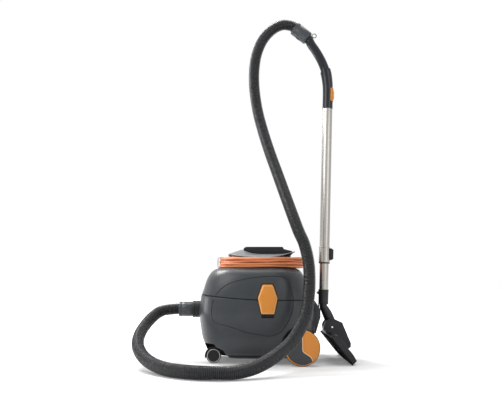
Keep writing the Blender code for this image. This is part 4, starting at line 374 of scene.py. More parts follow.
def stands_for(piece, node, finish, angle=32.0):
    """Dresses a piece that takes a frame node's place, on the node's body."""
    return dressed(piece, body_holding(node), finish, slot_of(node), node, angle=angle)


def body_holding(node):
    """The body that a frame node rides on."""
    return next(body for body, nodes in frame["record"]["behaviour"]["bodies"].items()
                if node in nodes)


def slot_of(node):
    """The material slot that a frame node's record names."""
    return next(row["material_slot"] for row in frame["record"]["subparts"]
                if row["node"] == node)


def softened(node, finish, width=0.0005, segments=2, angle=32.0):
    """A copy of a frame node with merged faces and rounded edges, shown in its place."""
    piece = bpy.data.objects.new(f"{node}_skin", frame["nodes"][node].data.copy())
    bpy.context.scene.collection.objects.link(piece)
    edit(piece)
    bpy.ops.mesh.remove_doubles(threshold=1e-5)
    bpy.ops.mesh.dissolve_limited(angle_limit=math.radians(1.0))
    bpy.ops.object.mode_set(mode="OBJECT")
    if width:
        rounded(piece, width, segments)
    return stands_for(piece, node, finish, angle)


def smooth_path(knots, step):
    """Points every step along a smooth curve through the knots."""
    knots = np.array(knots, float)
    ends = np.vstack([2 * knots[0] - knots[1], knots, 2 * knots[-1] - knots[-2]])
    dense = []
    for a, b, c, d in zip(ends, ends[1:], ends[2:], ends[3:]):
        for t in np.linspace(0.0, 1.0, 24, endpoint=False):
            dense.append(0.5 * (2 * b + (c - a) * t + (2 * a - 5 * b + 4 * c - d) * t * t
                                + (3 * b - a - 3 * c + d) * t ** 3))
    dense.append(knots[-1])
    dense = np.array(dense)
    along = length_along(dense)
    wanted = np.linspace(0.0, along[-1], max(2, round(along[-1] / step) + 1))
    return np.column_stack([np.interp(wanted, along, dense[:, k]) for k in range(knots.shape[1])])


def rings_along(points, radii, sides, squash=1.0):
    """Rings square to a path, carried along it without twist."""
    points = np.asarray(points, float)
    heading = np.gradient(points, axis=0)
    heading /= np.linalg.norm(heading, axis=1)[:, None]
    across = np.cross(heading[0], (0.0, 1.0, 0.0))
    angles = full_turn(sides)
    rows = []
    for point, ahead, radius in zip(points, heading, radii):
        across = across - ahead * across.dot(ahead)
        across /= np.linalg.norm(across)
        up = np.cross(ahead, across)
        rows.append(point + radius * (np.outer(np.cos(angles), across)
                                      + squash * np.outer(np.sin(angles), up)))
    return np.array(rows)


# ---------------------------------------------------------------- shader groups
OUTPUT_KINDS = {"Colour": "NodeSocketColor", "Roughness": "NodeSocketFloat",
                "Normal": "NodeSocketVector"}
PLAIN_COLOUR, FLOW_MARK = (0.1, 0.1, 0.1, 1.0), (0.3, 0.31, 0.32, 1.0)
DULL_STEEL, DEEP_FIBRE = (0.36, 0.34, 0.32, 1.0), (0.42, 0.41, 0.38, 1.0)


def new_group(name, outputs, **inputs):
    """A shader node group: the tree, what it is given and what it puts out."""
    tree = bpy.data.node_groups.new(name, "ShaderNodeTree")
    for label, value in inputs.items():
        kind = "NodeSocketColor" if isinstance(value, tuple) else "NodeSocketFloat"
        socket = tree.interface.new_socket(label.replace("_", " "), in_out="INPUT",
                                           socket_type=kind)
        socket.default_value = value
    for label in outputs:
        tree.interface.new_socket(label, in_out="OUTPUT", socket_type=OUTPUT_KINDS[label])
    return tree, tree.nodes.new("NodeGroupInput").outputs, tree.nodes.new("NodeGroupOutput").inputs


def give(tree, socket, value):
    """Links a socket to another one, or sets its plain value."""
    if hasattr(value, "is_linked"):
        tree.links.new(value, socket)
    else:
        socket.default_value = value


def fill_in(tree, made, **values):
    """Sets a node's properties, and its inputs to plain values or links."""
    for key, value in values.items():
        if hasattr(made, key):
            setattr(made, key, value)
        else:
            give(tree, made.inputs[key.replace("_", " ")], value)
    return made


def node(tree, kind, **values):
    """A new node, filled in."""
    return fill_in(tree, tree.nodes.new(kind), **values)


def object_place(tree):
    """Places on the object, in its own coordinates."""
    return node(tree, "ShaderNodeTexCoord").outputs["Object"]


def noise(tree, vector, scale, detail, rough):
    """The value of a noise texture."""
    return node(tree, "ShaderNodeTexNoise", Vector=vector, Scale=scale, Detail=detail,
                Roughness=rough).outputs["Fac"]


def scaled(tree, value, low, high, source_low=0.0, source_high=1.0):
    """A value carried from one range to another, and kept within it."""
    return node(tree, "ShaderNodeMapRange", Value=value, From_Min=source_low,
                From_Max=source_high, To_Min=low, To_Max=high).outputs["Result"]


def bumped(tree, height, depth, distance):
    """A normal bent by a height."""
    return node(tree, "ShaderNodeBump", Height=height, Strength=depth,
                Distance=distance).outputs["Normal"]


def maths(tree, operation, first, second):
    """A sum, difference or product of two values."""
    made = node(tree, "ShaderNodeMath", operation=operation)
    for socket, value in zip(made.inputs, (first, second)):
        give(tree, socket, value)
    return made.outputs["Value"]


def mixed(tree, factor, first, second):
    """One colour mixed into another by a mask."""
    made = node(tree, "ShaderNodeMix", data_type="RGBA")
    sockets = {socket.identifier: socket for socket in (*made.inputs, *made.outputs)}
    for label, value in (("Factor_Float", factor), ("A_Color", first), ("B_Color", second)):
        give(tree, sockets[label], value)
    return sockets["Result_Color"]


def put_out(tree, out, **sources):
    """Links a group's results to its outputs."""
    for label, source in sources.items():
        tree.links.new(source, out[label])
    return tree


def moulded_group(name):
    """Moulded plastic: fine grain, faint flow marks in the colour and an uneven gloss."""
    tree, given, out = new_group(name, ("Colour", "Roughness", "Normal"), Colour=PLAIN_COLOUR,
                                 Roughness=0.4, Mottle=0.1, Gloss_Change=0.1,
                                 Grain_Scale=1800.0, Grain_Depth=0.15)
    place = object_place(tree)
    tone = scaled(tree, noise(tree, place, 14.0, 4.0, 0.6), 0.0, given["Mottle"], 0.35, 0.75)
    patches = maths(tree, "SUBTRACT", noise(tree, place, 46.0, 5.0, 0.65), 0.5)
    change = maths(tree, "MULTIPLY", patches, given["Gloss Change"])
    grain = noise(tree, place, given["Grain Scale"], 2.0, 0.5)
    return put_out(tree, out, Colour=mixed(tree, tone, given["Colour"], FLOW_MARK),
                   Roughness=maths(tree, "ADD", given["Roughness"], change),
                   Normal=bumped(tree, grain, given["Grain Depth"], 0.0002))


def covered(tree, given, out, cover, colour, roughening):
    """Lays a colour over the given one by a mask, and roughens the gloss with it."""
    rough = maths(tree, "MULTIPLY", cover, roughening)
    return put_out(tree, out, Colour=mixed(tree, cover, given["Colour"], given[colour]),
                   Roughness=maths(tree, "ADD", given["Roughness"], rough))


def dust_group(name):
    """A little dust that has settled on faces that look up, thicker in patches."""
    tree, given, out = new_group(name, ("Colour", "Roughness"), Colour=PLAIN_COLOUR,
                                 Roughness=0.4, Amount=0.05, Dust=(0.42, 0.4, 0.37, 1.0))
    coordinates = node(tree, "ShaderNodeTexCoord").outputs
    facing = node(tree, "ShaderNodeSeparateXYZ", Vector=coordinates["Normal"])
    upward = scaled(tree, facing.outputs["Z"], 0.0, 1.0, 0.25, 1.0)
    patches = scaled(tree, noise(tree, coordinates["Object"], 90.0, 6.0, 0.7), 0.2, 1.0, 0.35,
                     0.7)
    cover = maths(tree, "MULTIPLY", maths(tree, "MULTIPLY", upward, patches), given["Amount"])
    return covered(tree, given, out, cover, "Dust", 0.6)


def scuff_group(name):
    """Thin pale scratches and scuffs, scattered in patches."""
    tree, given, out = new_group(name, ("Colour", "Roughness"), Colour=PLAIN_COLOUR,
                                 Roughness=0.4, Amount=0.1, Bare=(0.35, 0.35, 0.36, 1.0))
    place = object_place(tree)
    turned = node(tree, "ShaderNodeMapping", Vector=place, Rotation=(0.4, 0.9, 0.3),
                  Scale=(1.0, 1.0, 26.0)).outputs["Vector"]
    strokes = scaled(tree, noise(tree, turned, 55.0, 3.0, 0.4), 0.0, 1.0, 0.7, 0.74)
    patches = scaled(tree, noise(tree, place, 22.0, 2.0, 0.5), 0.0, 1.0, 0.5, 0.62)
    marks = maths(tree, "MULTIPLY", maths(tree, "MULTIPLY", strokes, patches), given["Amount"])
    return covered(tree, given, out, marks, "Bare", 0.5)


def drawn_metal_group(name):
    """Drawn steel tube: long fine lines along Z and slight rings of uneven polish."""
    tree, given, out = new_group(name, ("Colour", "Roughness", "Normal"),
                                 Colour=(0.6, 0.6, 0.6, 1.0), Roughness=0.25, Line_Depth=0.1)
    place = object_place(tree)
    stretched = node(tree, "ShaderNodeMapping", Vector=place, Scale=(1.0, 1.0, 0.012))
    lines = noise(tree, stretched.outputs["Vector"], 1500.0, 3.0, 0.6)
    tone = scaled(tree, lines, 0.0, 0.06, 0.3, 0.7)
    polish = maths(tree, "SUBTRACT", noise(tree, place, 30.0, 4.0, 0.6), 0.45)
    change = maths(tree, "MULTIPLY", polish, 0.08)
    return put_out(tree, out, Colour=mixed(tree, tone, given["Colour"], DULL_STEEL),
                   Roughness=maths(tree, "ADD", given["Roughness"], change),
                   Normal=bumped(tree, lines, given["Line Depth"], 0.0001))


def fleece_group(name):
    """Pressed fleece: a tangle of fibres with soft dimples."""
    tree, given, out = new_group(name, ("Colour", "Normal"), Colour=(0.7, 0.7, 0.66, 1.0),
                                 Fibre_Depth=0.5)
    place = object_place(tree)
    dimples = node(tree, "ShaderNodeTexVoronoi", Vector=place, Scale=260.0)
    height = maths(tree, "ADD", noise(tree, place, 900.0, 6.0, 0.8), dimples.outputs["Distance"])
    tone = scaled(tree, height, 0.0, 0.35, 0.4, 1.2)
    return put_out(tree, out, Colour=mixed(tree, tone, given["Colour"], DEEP_FIBRE),
                   Normal=bumped(tree, height, given["Fibre Depth"], 0.0006))


GROUP_MAKERS = {"Moulded Plastic": moulded_group, "Settled Dust": dust_group,
                "Light Scuffs": scuff_group, "Drawn Metal": drawn_metal_group,
                "Pressed Fleece": fleece_group}
GROUPS = {}


def placed_group(tree, name, **values):
    """A shader group set into a material, built the first time that it is used."""
    if name not in GROUPS:
        GROUPS[name] = GROUP_MAKERS[name](name)
    made = tree.nodes.new("ShaderNodeGroup")
    made.node_tree = GROUPS[name]
    return fill_in(tree, made, **values).outputs


# ---------------------------------------------------------------- finishes
def blank(name, colour=(1.0, 1.0, 1.0)):
    """A new material, with its node tree and its Principled BSDF."""
    material = bpy.data.materials.new(name)
    material.use_nodes = True
    material.diffuse_color = (*colour, 1.0)
    return material, material.node_tree, material.node_tree.nodes["Principled BSDF"]


def plastic(name, colour, roughness, mottle, grain, grain_scale, dust, scuffs=0.0, specular=0.5,
            coat=0.0, gloss_change=0.12, sheen=0.0):
    """Moulded plastic with grain, dust and, where it is handled, scuffs."""
    material, tree, shader = blank(name, colour)
    base = last = placed_group(tree, "Moulded Plastic", Colour=(*colour, 1.0),
                               Roughness=roughness, Mottle=mottle, Gloss_Change=gloss_change,
                               Grain_Scale=grain_scale, Grain_Depth=grain)
    for layer, amount in (("Light Scuffs", scuffs), ("Settled Dust", dust)):
        if amount:
            last = placed_group(tree, layer, Colour=last["Colour"], Roughness=last["Roughness"],
                                Amount=amount)
    fill_in(tree, shader, Base_Color=last["Colour"], Roughness=last["Roughness"],
            Normal=base["Normal"], Coat_Weight=coat, Coat_Roughness=0.12,
            Specular_IOR_Level=specular, Sheen_Weight=sheen, Sheen_Roughness=0.35)
    return material


def metal(name, colour, roughness, line_depth, anisotropy=0.0):
    """Drawn or polished metal."""
    material, tree, shader = blank(name, colour)
    base = placed_group(tree, "Drawn Metal", Colour=(*colour, 1.0), Roughness=roughness,
                        Line_Depth=line_depth)
    fill_in(tree, shader, Base_Color=base["Colour"], Roughness=base["Roughness"],
            Normal=base["Normal"], Metallic=1.0, Anisotropic=anisotropy)
    return material


def fleece(name, colour):
    """Filter fleece or bag paper."""
    material, tree, shader = blank(name, colour)
    base = placed_group(tree, "Pressed Fleece", Colour=(*colour, 1.0))
    fill_in(tree, shader, Base_Color=base["Colour"], Normal=base["Normal"], Roughness=0.95,
            Sheen_Weight=0.3)
    return material


# each finish: what makes it, its colour or the property that holds it, and its values:
# plastic takes roughness, mottle, grain, grain scale, dust, scuffs, specular, coat, change of
# gloss and sheen, metal takes roughness, line depth and anisotropy
RECIPES = {
    "anthracite shell": (plastic, "shell", 0.34, 0.035, 0.05, 2200.0, 0.035, 0.08, 0.34),
    "orange trim": (plastic, "trim", 0.38, 0.02, 0.04, 1600.0, 0.01, 0.03, 0.4),
    "latch edge": (plastic, "latch_edge", 0.38, 0.02, 0.03, 1600.0, 0.01),
    "pale bead": (plastic, "bead", 0.42, 0.02, 0.03, 1600.0, 0.01),
    "orange sheath": (plastic, "cord", 0.4, 0.05, 0.15, 700.0, 0.03, 0.05, 0.45),
    "silver rim": (plastic, (0.15, 0.155, 0.165), 0.28, 0.04, 0.02, 2600.0, 0.03, 0.08, 0.5,
                   0.3),
    "black plastic": (plastic, (0.011, 0.0115, 0.0125), 0.4, 0.02, 0.08, 1500.0, 0.02, 0.0,
                      0.25),
    "grip rubber": (plastic, (0.018, 0.02, 0.022), 0.58, 0.02, 0.35, 900.0, 0.04, 0.0, 0.28),
    "cuff plastic": (plastic, (0.048, 0.053, 0.058), 0.32, 0.03, 0.04, 1800.0, 0.02, 0.06, 0.36),
    "hose plastic": (plastic, (0.017, 0.0185, 0.02), 0.27, 0.01, 0.02, 1500.0, 0.015, 0.03,
                     0.34, 0.0, 0.12, 0.16),
    "tyre rubber": (plastic, (0.013, 0.013, 0.014), 0.78, 0.03, 0.6, 700.0, 0.06, 0.0, 0.2),
    "hub insert": (plastic, (0.05, 0.053, 0.058), 0.5, 0.03, 0.2, 1200.0, 0.02, 0.04, 0.3),
    "handle gloss": (plastic, (0.007, 0.0105, 0.016), 0.15, 0.0, 0.0, 2200.0, 0.01, 0.03, 0.34,
                     0.0, 0.05, 0.12),
    "dock grey": (plastic, (0.03, 0.034, 0.038), 0.4, 0.03, 0.08, 1800.0, 0.03, 0.05, 0.3),
    "nozzle plastic": (plastic, (0.013, 0.014, 0.016), 0.34, 0.02, 0.06, 1500.0, 0.02, 0.06,
                       0.3),
    "sole plastic": (plastic, (0.01, 0.01, 0.011), 0.95, 0.02, 0.3, 1200.0, 0.02, 0.1, 0.03,
                     0.0, 0.0),
    "bristles": (plastic, (0.02, 0.019, 0.018), 0.9, 0.05, 0.9, 2600.0, 0.03, 0.0, 0.1),
    "drawn steel": (metal, "steel", 0.28, 0.02, 0.3),
    "polished steel": (metal, (0.8, 0.8, 0.8), 0.12, 0.01),
    "motor metal": (metal, (0.48, 0.49, 0.5), 0.42, 0.25),
    "filter fleece": (fleece, (0.7, 0.7, 0.66)),
    "bag paper": (fleece, (0.62, 0.58, 0.48)),
}
FINISHES = {}


def finish_called(name):
    """One of the object's finishes, made the first time that it is asked for."""
    if name not in FINISHES:
        make, colour, *values = RECIPES[name]
        if isinstance(colour, str):
            colour = tuple(getattr(bpy.context.scene.vacuum_colours, colour))
        FINISHES[name] = make(name, colour, *values)
    return FINISHES[name]


# ---------------------------------------------------------------- shell shape
def plan_angles():
    """Angles round the plan outline, closer together on its corners."""
    angles = np.linspace(math.pi, 0.0, 1441)
    c, s = np.cos(angles), np.sin(angles)
    length = np.where(c < 0, BODY_MID - BODY_FRONT, BODY_REAR - BODY_MID)
    x = length * np.sign(c) * np.abs(c) ** (2 / OUTLINE_POWER)
    y = BODY_HALF_WIDTH * np.abs(s) ** (2 / OUTLINE_POWER)
    step = np.hypot(np.diff(x), np.diff(y))
    heading = np.unwrap(np.arctan2(np.diff(y), np.diff(x)))
    turning = np.abs(np.diff(heading, prepend=heading[0]))
    along = np.concatenate([[0.0], np.cumsum(step / step.sum() + 0.6 * turning / turning.sum())])
    half = np.interp(np.linspace(0.0, along[-1], PLAN_POINTS // 2 + 1), along, angles)
    return np.concatenate([half, -half[-2:0:-1]])


PLAN_ANGLES = plan_angles()


def plan_ring(front, rear, half_width, mid=BODY_MID, power=OUTLINE_POWER):
    """One turn of the plan outline, for given ends and half width."""
    c, s = np.cos(PLAN_ANGLES), np.sin(PLAN_ANGLES)
    length = np.where(c < 0, mid - front, rear - mid)
    x = mid + length * np.sign(c) * np.abs(c) ** (2 / power)
    y = half_width * np.sign(s) * np.abs(s) ** (2 / power)
    return np.column_stack([x, y])


def parting_at(x):
    """Height of the line where hood and tank meet, which rises towards the hose."""
    forward = np.clip((0.05 - x) / (0.05 - BODY_FRONT), 0.0, 1.0)
    return PARTING_HEIGHT - 0.002 + PARTING_RISE * forward ** 2


def insets_at(sections, share):
    """The shell's insets at a share of its height: front, rear and side."""
    shares = [row[0] for row in sections]
    return [float(np.interp(share, shares, [row[k] for row in sections])) for k in (1, 2, 3)]


def on_span(sections, span, height):
    """The shell's insets at a height."""
    return insets_at(sections, (height - span[0]) / span[1])


def inner_row(sections, span, share, wall=SHELL_WALL):
    """One row of a shell's inside, at a share of its height."""
    return shell_row(*insets_at(sections, share), span[0] + span[1] * share, wall)


def lip_row(insets, inset, rise):
    """One row of the rounded lip at the parting."""
    row = shell_row(*insets, PARTING_HEIGHT, inset)
    row[:, 2] += rise
    return row


def shell_row(front, rear, side, height, inset=0.0):
    """One row of the shell from its insets; near the parting it follows that line."""
    ring = plan_ring(BODY_FRONT + front + inset, BODY_REAR - rear - inset,
                     BODY_HALF_WIDTH - side - inset)
    near = max(0.0, 1.0 - abs(height - PARTING_HEIGHT) / 0.055)
    z = height + near * (parting_at(ring[:, 0]) - PARTING_HEIGHT)
    return np.column_stack([ring, z])


def shell_rows(sections, span, inset=0.0, step=0.004):
    """Rows of the shell's outside, a small step apart."""
    knots = [(span[0] + span[1] * share, *rest) for share, *rest in sections]
    return [shell_row(front, rear, side, height, inset)
            for height, front, rear, side in smooth_path(knots, step)]


def side_at(x, height):
    """Half width of the shell at a place on its side."""
    shell = (TANK_SECTIONS, TANK_SPAN) if height < PARTING_HEIGHT else (HOOD_SECTIONS, HOOD_SPAN)
    front, rear, side = on_span(*shell, height)
    length = BODY_MID - BODY_FRONT - front if x < BODY_MID else BODY_REAR - rear - BODY_MID
    share = min(0.999, abs(x - BODY_MID) / length)
    return (BODY_HALF_WIDTH - side) * (1 - share ** OUTLINE_POWER) ** (1 / OUTLINE_POWER)


def on_side(x, height, side, proud=0.0):
    """A point on the side of the shell, or proud of it."""
    return Vector((x, side * (side_at(x, height) + proud), height))


def along_x(x=0.0, y=0.0, z=0.0):
    """Puts a spun piece's Z along X."""
    return at((x, y, z), 90.0, "Y")


def along_y(side, x=0.0, z=0.0):
    """Puts a spun piece's Z outwards along Y on one side."""
    return at((x, 0.0, z), -90.0 * side)


def rod(name, radius, low, high, place=None, steps=72):
    """A solid cylinder."""
    return spun(name, [(0.0, low), (radius, low), (radius, high), (0.0, high)], place, steps)


# ---------------------------------------------------------------- sizes and colours
def length(name, description, default):
    return bpy.props.FloatProperty(name=name, description=description, default=default,
                                   unit="LENGTH", precision=5)


def colour(name, description, default):
    return bpy.props.FloatVectorProperty(name=name, description=description, default=default,
                                         subtype="COLOR", size=3, min=0.0, max=1.0)


class VacuumSizes(bpy.types.PropertyGroup):
    """Sizes of the details that the looks add to the frame."""

    rib_pitch: length("Hose Rib Pitch", "Distance from one rib of the hose to the next", 0.0046)
    row_step: length("Shell Row Step", "Distance between the rows of the body shell", 0.0036)
    lip: length("Parting Lip", "Rounding of the shells where they meet", 0.0012)
    groove: length("Panel Groove", "Radius of the groove round each side panel", 0.0016)
    latch_edge: length("Latch Edge", "Rounding of a latch's edges", 0.0011)
    grip_round: length("Grip Rounding", "Rounding of the carry grip", 0.0045)
    tread_groove: length("Tread Groove", "Width of the grooves in a rear tyre", 0.0014)
    bead: length("Leaf Bead", "Radius of the pale bead along the hub leaf", 0.0016)
    ring: length("Caster Ring", "Width of the bright ring on a caster wheel", 0.0028)
    small_edge: length("Small Edge", "Rounding of small parts", 0.0005)


class VacuumColours(bpy.types.PropertyGroup):
    """Colours of the finishes that set the machine's look."""

    shell: colour("Shell", "Hood and tank", (0.033, 0.038, 0.042))
    trim: colour("Trim", "Latches, hub caps, slider and button", (0.72, 0.265, 0.036))
    bead: colour("Bead", "Pale edge lines on the orange trim", (0.92, 0.6, 0.3))
    # paler orange on the latch bevels: a painted highlight
    latch_edge: colour("Latch Edge", "Bevel round each latch", (0.84, 0.4, 0.11))
    cord: colour("Cord", "Sheath of the mains cord", (0.76, 0.25, 0.095))
    steel: colour("Steel", "Wand tubes and telescope collar", (0.37, 0.35, 0.325))


def sizes():
    return bpy.context.scene.vacuum_sizes


# ---------------------------------------------------------------- stage
def area_light(name, place, aim, size, power):
    """A rectangular lamp that looks at a point."""
    lamp = bpy.data.lights.new(name, "AREA")
    lamp.shape = "RECTANGLE"
    lamp.size, lamp.size_y = size
    lamp.energy = power
    holder = bpy.data.objects.new(name, lamp)
    bpy.context.scene.collection.objects.link(holder)
    holder.location = place
    holder.rotation_euler = (Vector(aim) - Vector(place)).to_track_quat("-Z", "Y").to_euler()


def white_for_camera(tree, seen, unseen):
    """One strength for camera, glossy and transmitted rays, and another for the rest."""
    path = node(tree, "ShaderNodeLightPath").outputs
    total = maths(tree, "ADD", path["Is Camera Ray"], path["Is Glossy Ray"])
    total = maths(tree, "ADD", total, path["Is Transmission Ray"])
    return scaled(tree, maths(tree, "MINIMUM", total, 1.0), unseen, seen)


# name, place, aim, size and power of each lamp
LAMPS = (
    ("key lamp", (-1.9, -1.3, 2.1), (-0.1, 0.0, 0.3), (1.9, 1.9), 38.0),
    ("shoulder lamp", (-1.45, 0.95, 2.3), (-0.15, 0.0, 0.25), (0.9, 0.9), 58.0),
    ("side card", (-2.5, 0.7, 0.3), (-0.1, 0.0, 0.2), (0.8, 0.45), 8.0),
    ("fill lamp", (1.7, -1.9, 1.3), (0.0, 0.0, 0.4), (1.4, 1.8), 12.0),
    ("top lamp", (0.1, 0.4, 2.9), (0.0, 0.0, 0.2), (1.6, 1.6), 30.0),
)
FLOOR_COLOUR, WHITE = (0.88, 0.88, 0.88, 1.0), (1.0, 1.0, 1.0, 1.0)
# how much of the floor's white is its own beside the object, and the distances over which
# that share grows to the whole
FLOOR_GLOW_NEAR, GLOW_START, GLOW_END = 0.16, 0.55, 1.5
SKY_UNSEEN = 0.3          # the world's strength for rays that the camera doesn't see
LENS, SENSOR = 42.12, 36.0
CAMERA_PLACE, CAMERA_TILT = (-0.069, -2.02, 0.26), math.radians(97.94)


class VACUUM_OT_stage(bpy.types.Operator):
    """Builds the camera, floor, world and lamps"""

    bl_idname = "vacuum.stage"
    bl_label = "Stage"

    def execute(self, context):
        scene = context.scene
        lens = bpy.data.cameras.new("camera")
        lens.lens, lens.sensor_width = LENS, SENSOR
        camera = bpy.data.objects.new("camera", lens)
        camera.location, camera.rotation_euler = CAMERA_PLACE, (CAMERA_TILT, 0.0, 0.0)
        scene.collection.objects.link(camera)
        scene.camera = camera
        scene.view_settings.view_transform = "Standard"

        world = bpy.data.worlds.new("studio")
        world.use_nodes = True
        scene.world = world
        sky = world.node_tree
        fill_in(sky, sky.nodes["Background"], Color=WHITE,
                Strength=white_for_camera(sky, 1.0, SKY_UNSEEN))

        pick()
        bpy.ops.mesh.primitive_grid_add(x_subdivisions=24, y_subdivisions=24, size=24.0)
        floor = named("studio_floor")
        material, tree, shader = blank("studio floor")
        away = node(tree, "ShaderNodeVectorMath", operation="LENGTH", Vector=object_place(tree))
        glow = scaled(tree, away.outputs["Value"], FLOOR_GLOW_NEAR, 1.0, GLOW_START, GLOW_END)
        fill_in(tree, shader, Base_Color=FLOOR_COLOUR, Roughness=0.9, Specular_IOR_Level=0.1,
                Emission_Color=WHITE, Emission_Strength=maths(
                    tree, "MULTIPLY", white_for_camera(tree, 1.0, 0.0), glow))
        floor.data.materials.append(material)
        for lamp in LAMPS:
            area_light(*lamp)
        return {"FINISHED"}


# ---------------------------------------------------------------- hose and cuffs
def hose_path():
    """The hose's centre line: straight in both cuffs, free between them."""
    start = Vector((CUFF_FRONT + HOSE_SEAT, 0.0, INLET_HEIGHT))
    end = HANDLE_CUFF_MOUTH + HANDLE_CUFF_HEADING * HOSE_SEAT
    straight = 2 * HOSE_RADIUS
    first, last = start - Vector((straight, 0.0, 0.0)), end - HANDLE_CUFF_HEADING * straight
    return smooth_path([tuple(start), tuple((start + first) / 2), tuple(first), *HOSE_ROUTE,
                        tuple(last), tuple((last + end) / 2), tuple(end)], 0.002)


class VACUUM_OT_hose(bpy.types.Operator):
    """Builds the ribbed suction hose"""

    bl_idname = "vacuum.hose"
    bl_label = "Suction Hose"

    def execute(self, context):
        run = hose_path()
        along = length_along(run)
        count = round(along[-1] / sizes().rib_pitch)
        shares, radii = [], []
        for rib in range(count):
            for within, radius in ((0.0, HOSE_VALLEY), (0.22, HOSE_VALLEY + 0.0008),
                                   (0.4, HOSE_RADIUS), (0.68, HOSE_RADIUS),
                                   (0.86, HOSE_VALLEY + 0.0008)):
                shares.append((rib + within) / count)
                radii.append(radius)
        shares.append(1.0)
        radii.append(HOSE_VALLEY)
        wanted = np.array(shares) * along[-1]
        points = np.column_stack([np.interp(wanted, along, run[:, k]) for k in range(3)])
        hose = skinned("suction_hose", rings_along(points, radii, 26))
        smooth(hose, 70.0)
        give_finish(hose, "hose plastic")
        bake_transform(hose)
        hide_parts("hose")
        return {"FINISHED"}


class VACUUM_OT_cuffs(bpy.types.Operator):
    """Builds the hose's cuffs and the inlet collar on the tank"""

    bl_idname = "vacuum.cuffs"
    bl_label = "Cuffs and Inlet"

    def execute(self, context):
        radius, bore, seat = CUFF_RADIUS, HOSE_RADIUS + 0.0005, HOSE_SEAT + 0.0003
        length = CUFF_BACK - CUFF_FRONT
        sleeve = spun("machine_cuff_sleeve", [
            (bore, 0.0008), (bore + 0.0006, 0.0), (radius - 0.0016, 0.0),
            (radius - 0.0006, 0.0006), (radius, 0.0024), (radius, 0.009),
            (radius - 0.0007, 0.01), (radius - 0.0007, 0.0112), (radius - 0.0001, 0.0122),
            (radius - 0.0001, 0.0425), (radius - 0.0008, 0.0434),
            (radius - 0.0008, length - 0.0006), (radius - 0.0014, length), (0.015, length),
            (0.015, seat), (bore, seat)],
            along_x(CUFF_FRONT, 0.0, INLET_HEIGHT), steps=96, bored=True)
        stands_for(sleeve, "hose_cuff_machine", "cuff plastic", 40.0)

        turn = HANDLE_CUFF_HEADING.to_track_quat("Z", "Y").to_matrix().to_4x4()
        place = Matrix.Translation(HANDLE_CUFF_MOUTH) @ turn
        long, neck = HANDLE_CUFF_LENGTH, HANDLE_NECK_RADIUS + 0.0005
        barrel = spun("handle_cuff_barrel", [
            (bore, 0.0008), (bore + 0.0006, 0.0), (radius - 0.0018, 0.0),
            (radius - 0.0006, 0.0007), (radius, 0.0026), (radius, 0.011),
            (radius - 0.0008, 0.0121), (radius - 0.0008, 0.0134), (radius - 0.0002, 0.0145),
            (radius - 0.0006, long - 0.006), (radius - 0.0012, long - 0.0015),
            (radius - 0.0026, long), (neck + 0.0006, long), (neck, long - 0.0008),
            (neck, long - 0.0155),
            (0.0125, long - 0.0155), (0.0125, seat), (bore, seat)], place, steps=96, bored=True)
        stands_for(barrel, "hose_cuff_handle", "cuff plastic", 40.0)
        plate = block("cuff_catch", (-0.0052, -radius - 0.0004, 0.026),
                      (0.0052, -radius + 0.003, 0.041), 0.0009, 2, place)
        dressed(plate, "handle_cuff", "black plastic", slot_of("hose_cuff_handle"))

        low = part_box("inlet_collar")[0].x
        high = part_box("inlet_collar")[1].x - low
        run = CUFF_RADIUS + 0.0005
        collar = spun("inlet_ring", [
            (run, 0.0008), (run + 0.0006, 0.0), (0.0262, 0.0), (0.027, 0.0008),
            (0.0275, 0.0022), (0.0275, 0.007), (0.0268, 0.0078), (0.0268, 0.0092),
            (0.0275, 0.01), (0.0275, high), (0.015, high), (0.015, 0.0205), (run, 0.0205)],
            along_x(low, 0.0, INLET_HEIGHT), steps=96, bored=True)
        stands_for(collar, "inlet_collar", "black plastic", 40.0)
        return {"FINISHED"}


# ---------------------------------------------------------------- mains cord
def coil_point(angle, radial, layer):
    """A point of the cord's coil, at a turn's angle and place in the layers."""
    half_length = CORD_INNER_LENGTH + CORD_PITCH * radial
    half_width = CORD_INNER_WIDTH + CORD_PITCH * radial
    x = CORD_X + half_length * eased(math.cos(angle), 2 / CORD_POWER)
    y = half_width * eased(math.sin(angle), 2 / CORD_POWER)
    return Vector((x, y, DECK_HEIGHT + 0.0006 + CORD_RADIUS + CORD_PITCH * layer))


def cord_route():
    """The whole cord: out of the gland, round the coil layer by layer, and into the plug."""
    coil = []
    for step in range(CORD_LAYERS * CORD_TURNS * CORD_POINTS - CORD_SHORT):
        turns = step / CORD_POINTS
        layer = int(turns // CORD_TURNS)
        within = turns - layer * CORD_TURNS
        radial = within if layer % 2 == 0 else CORD_TURNS - within
        height, to_next = layer, CORD_TURNS - within
        if layer + 1 < CORD_LAYERS and to_next < 0.25:
            height = layer + 0.5 - to_next / 0.5
        elif layer > 0 and within < 0.25:
            height = layer - 0.5 + within / 0.5
        coil.append(coil_point(CORD_START - turns * math.tau, radial, height))
    end = Vector((PLUG.x, PLUG.y - 0.0003, PLUG.z))
    lead = CORD_RADIUS * 2
    start = [GLAND_MOUTH + Vector((0.0003, 0.0, 0.0)), GLAND_MOUTH + Vector((lead, 0.0, 0.0))]
    start.append((start[-1] + coil[0]) / 2 + Vector((0.0, 0.0012, 0.0)))
    finish = end - Vector((0.0, lead, 0.0))
    tail = smooth_path([tuple(coil[-1]), (-0.14, -0.048, coil[-1].z - 0.002),
                        (-0.136, -0.033, end.z + 0.007), (-0.1275, -0.022, end.z + 0.002),
                        tuple(finish)], 0.014)
    return start + coil[:-1] + [Vector(p) for p in tail] + [end]


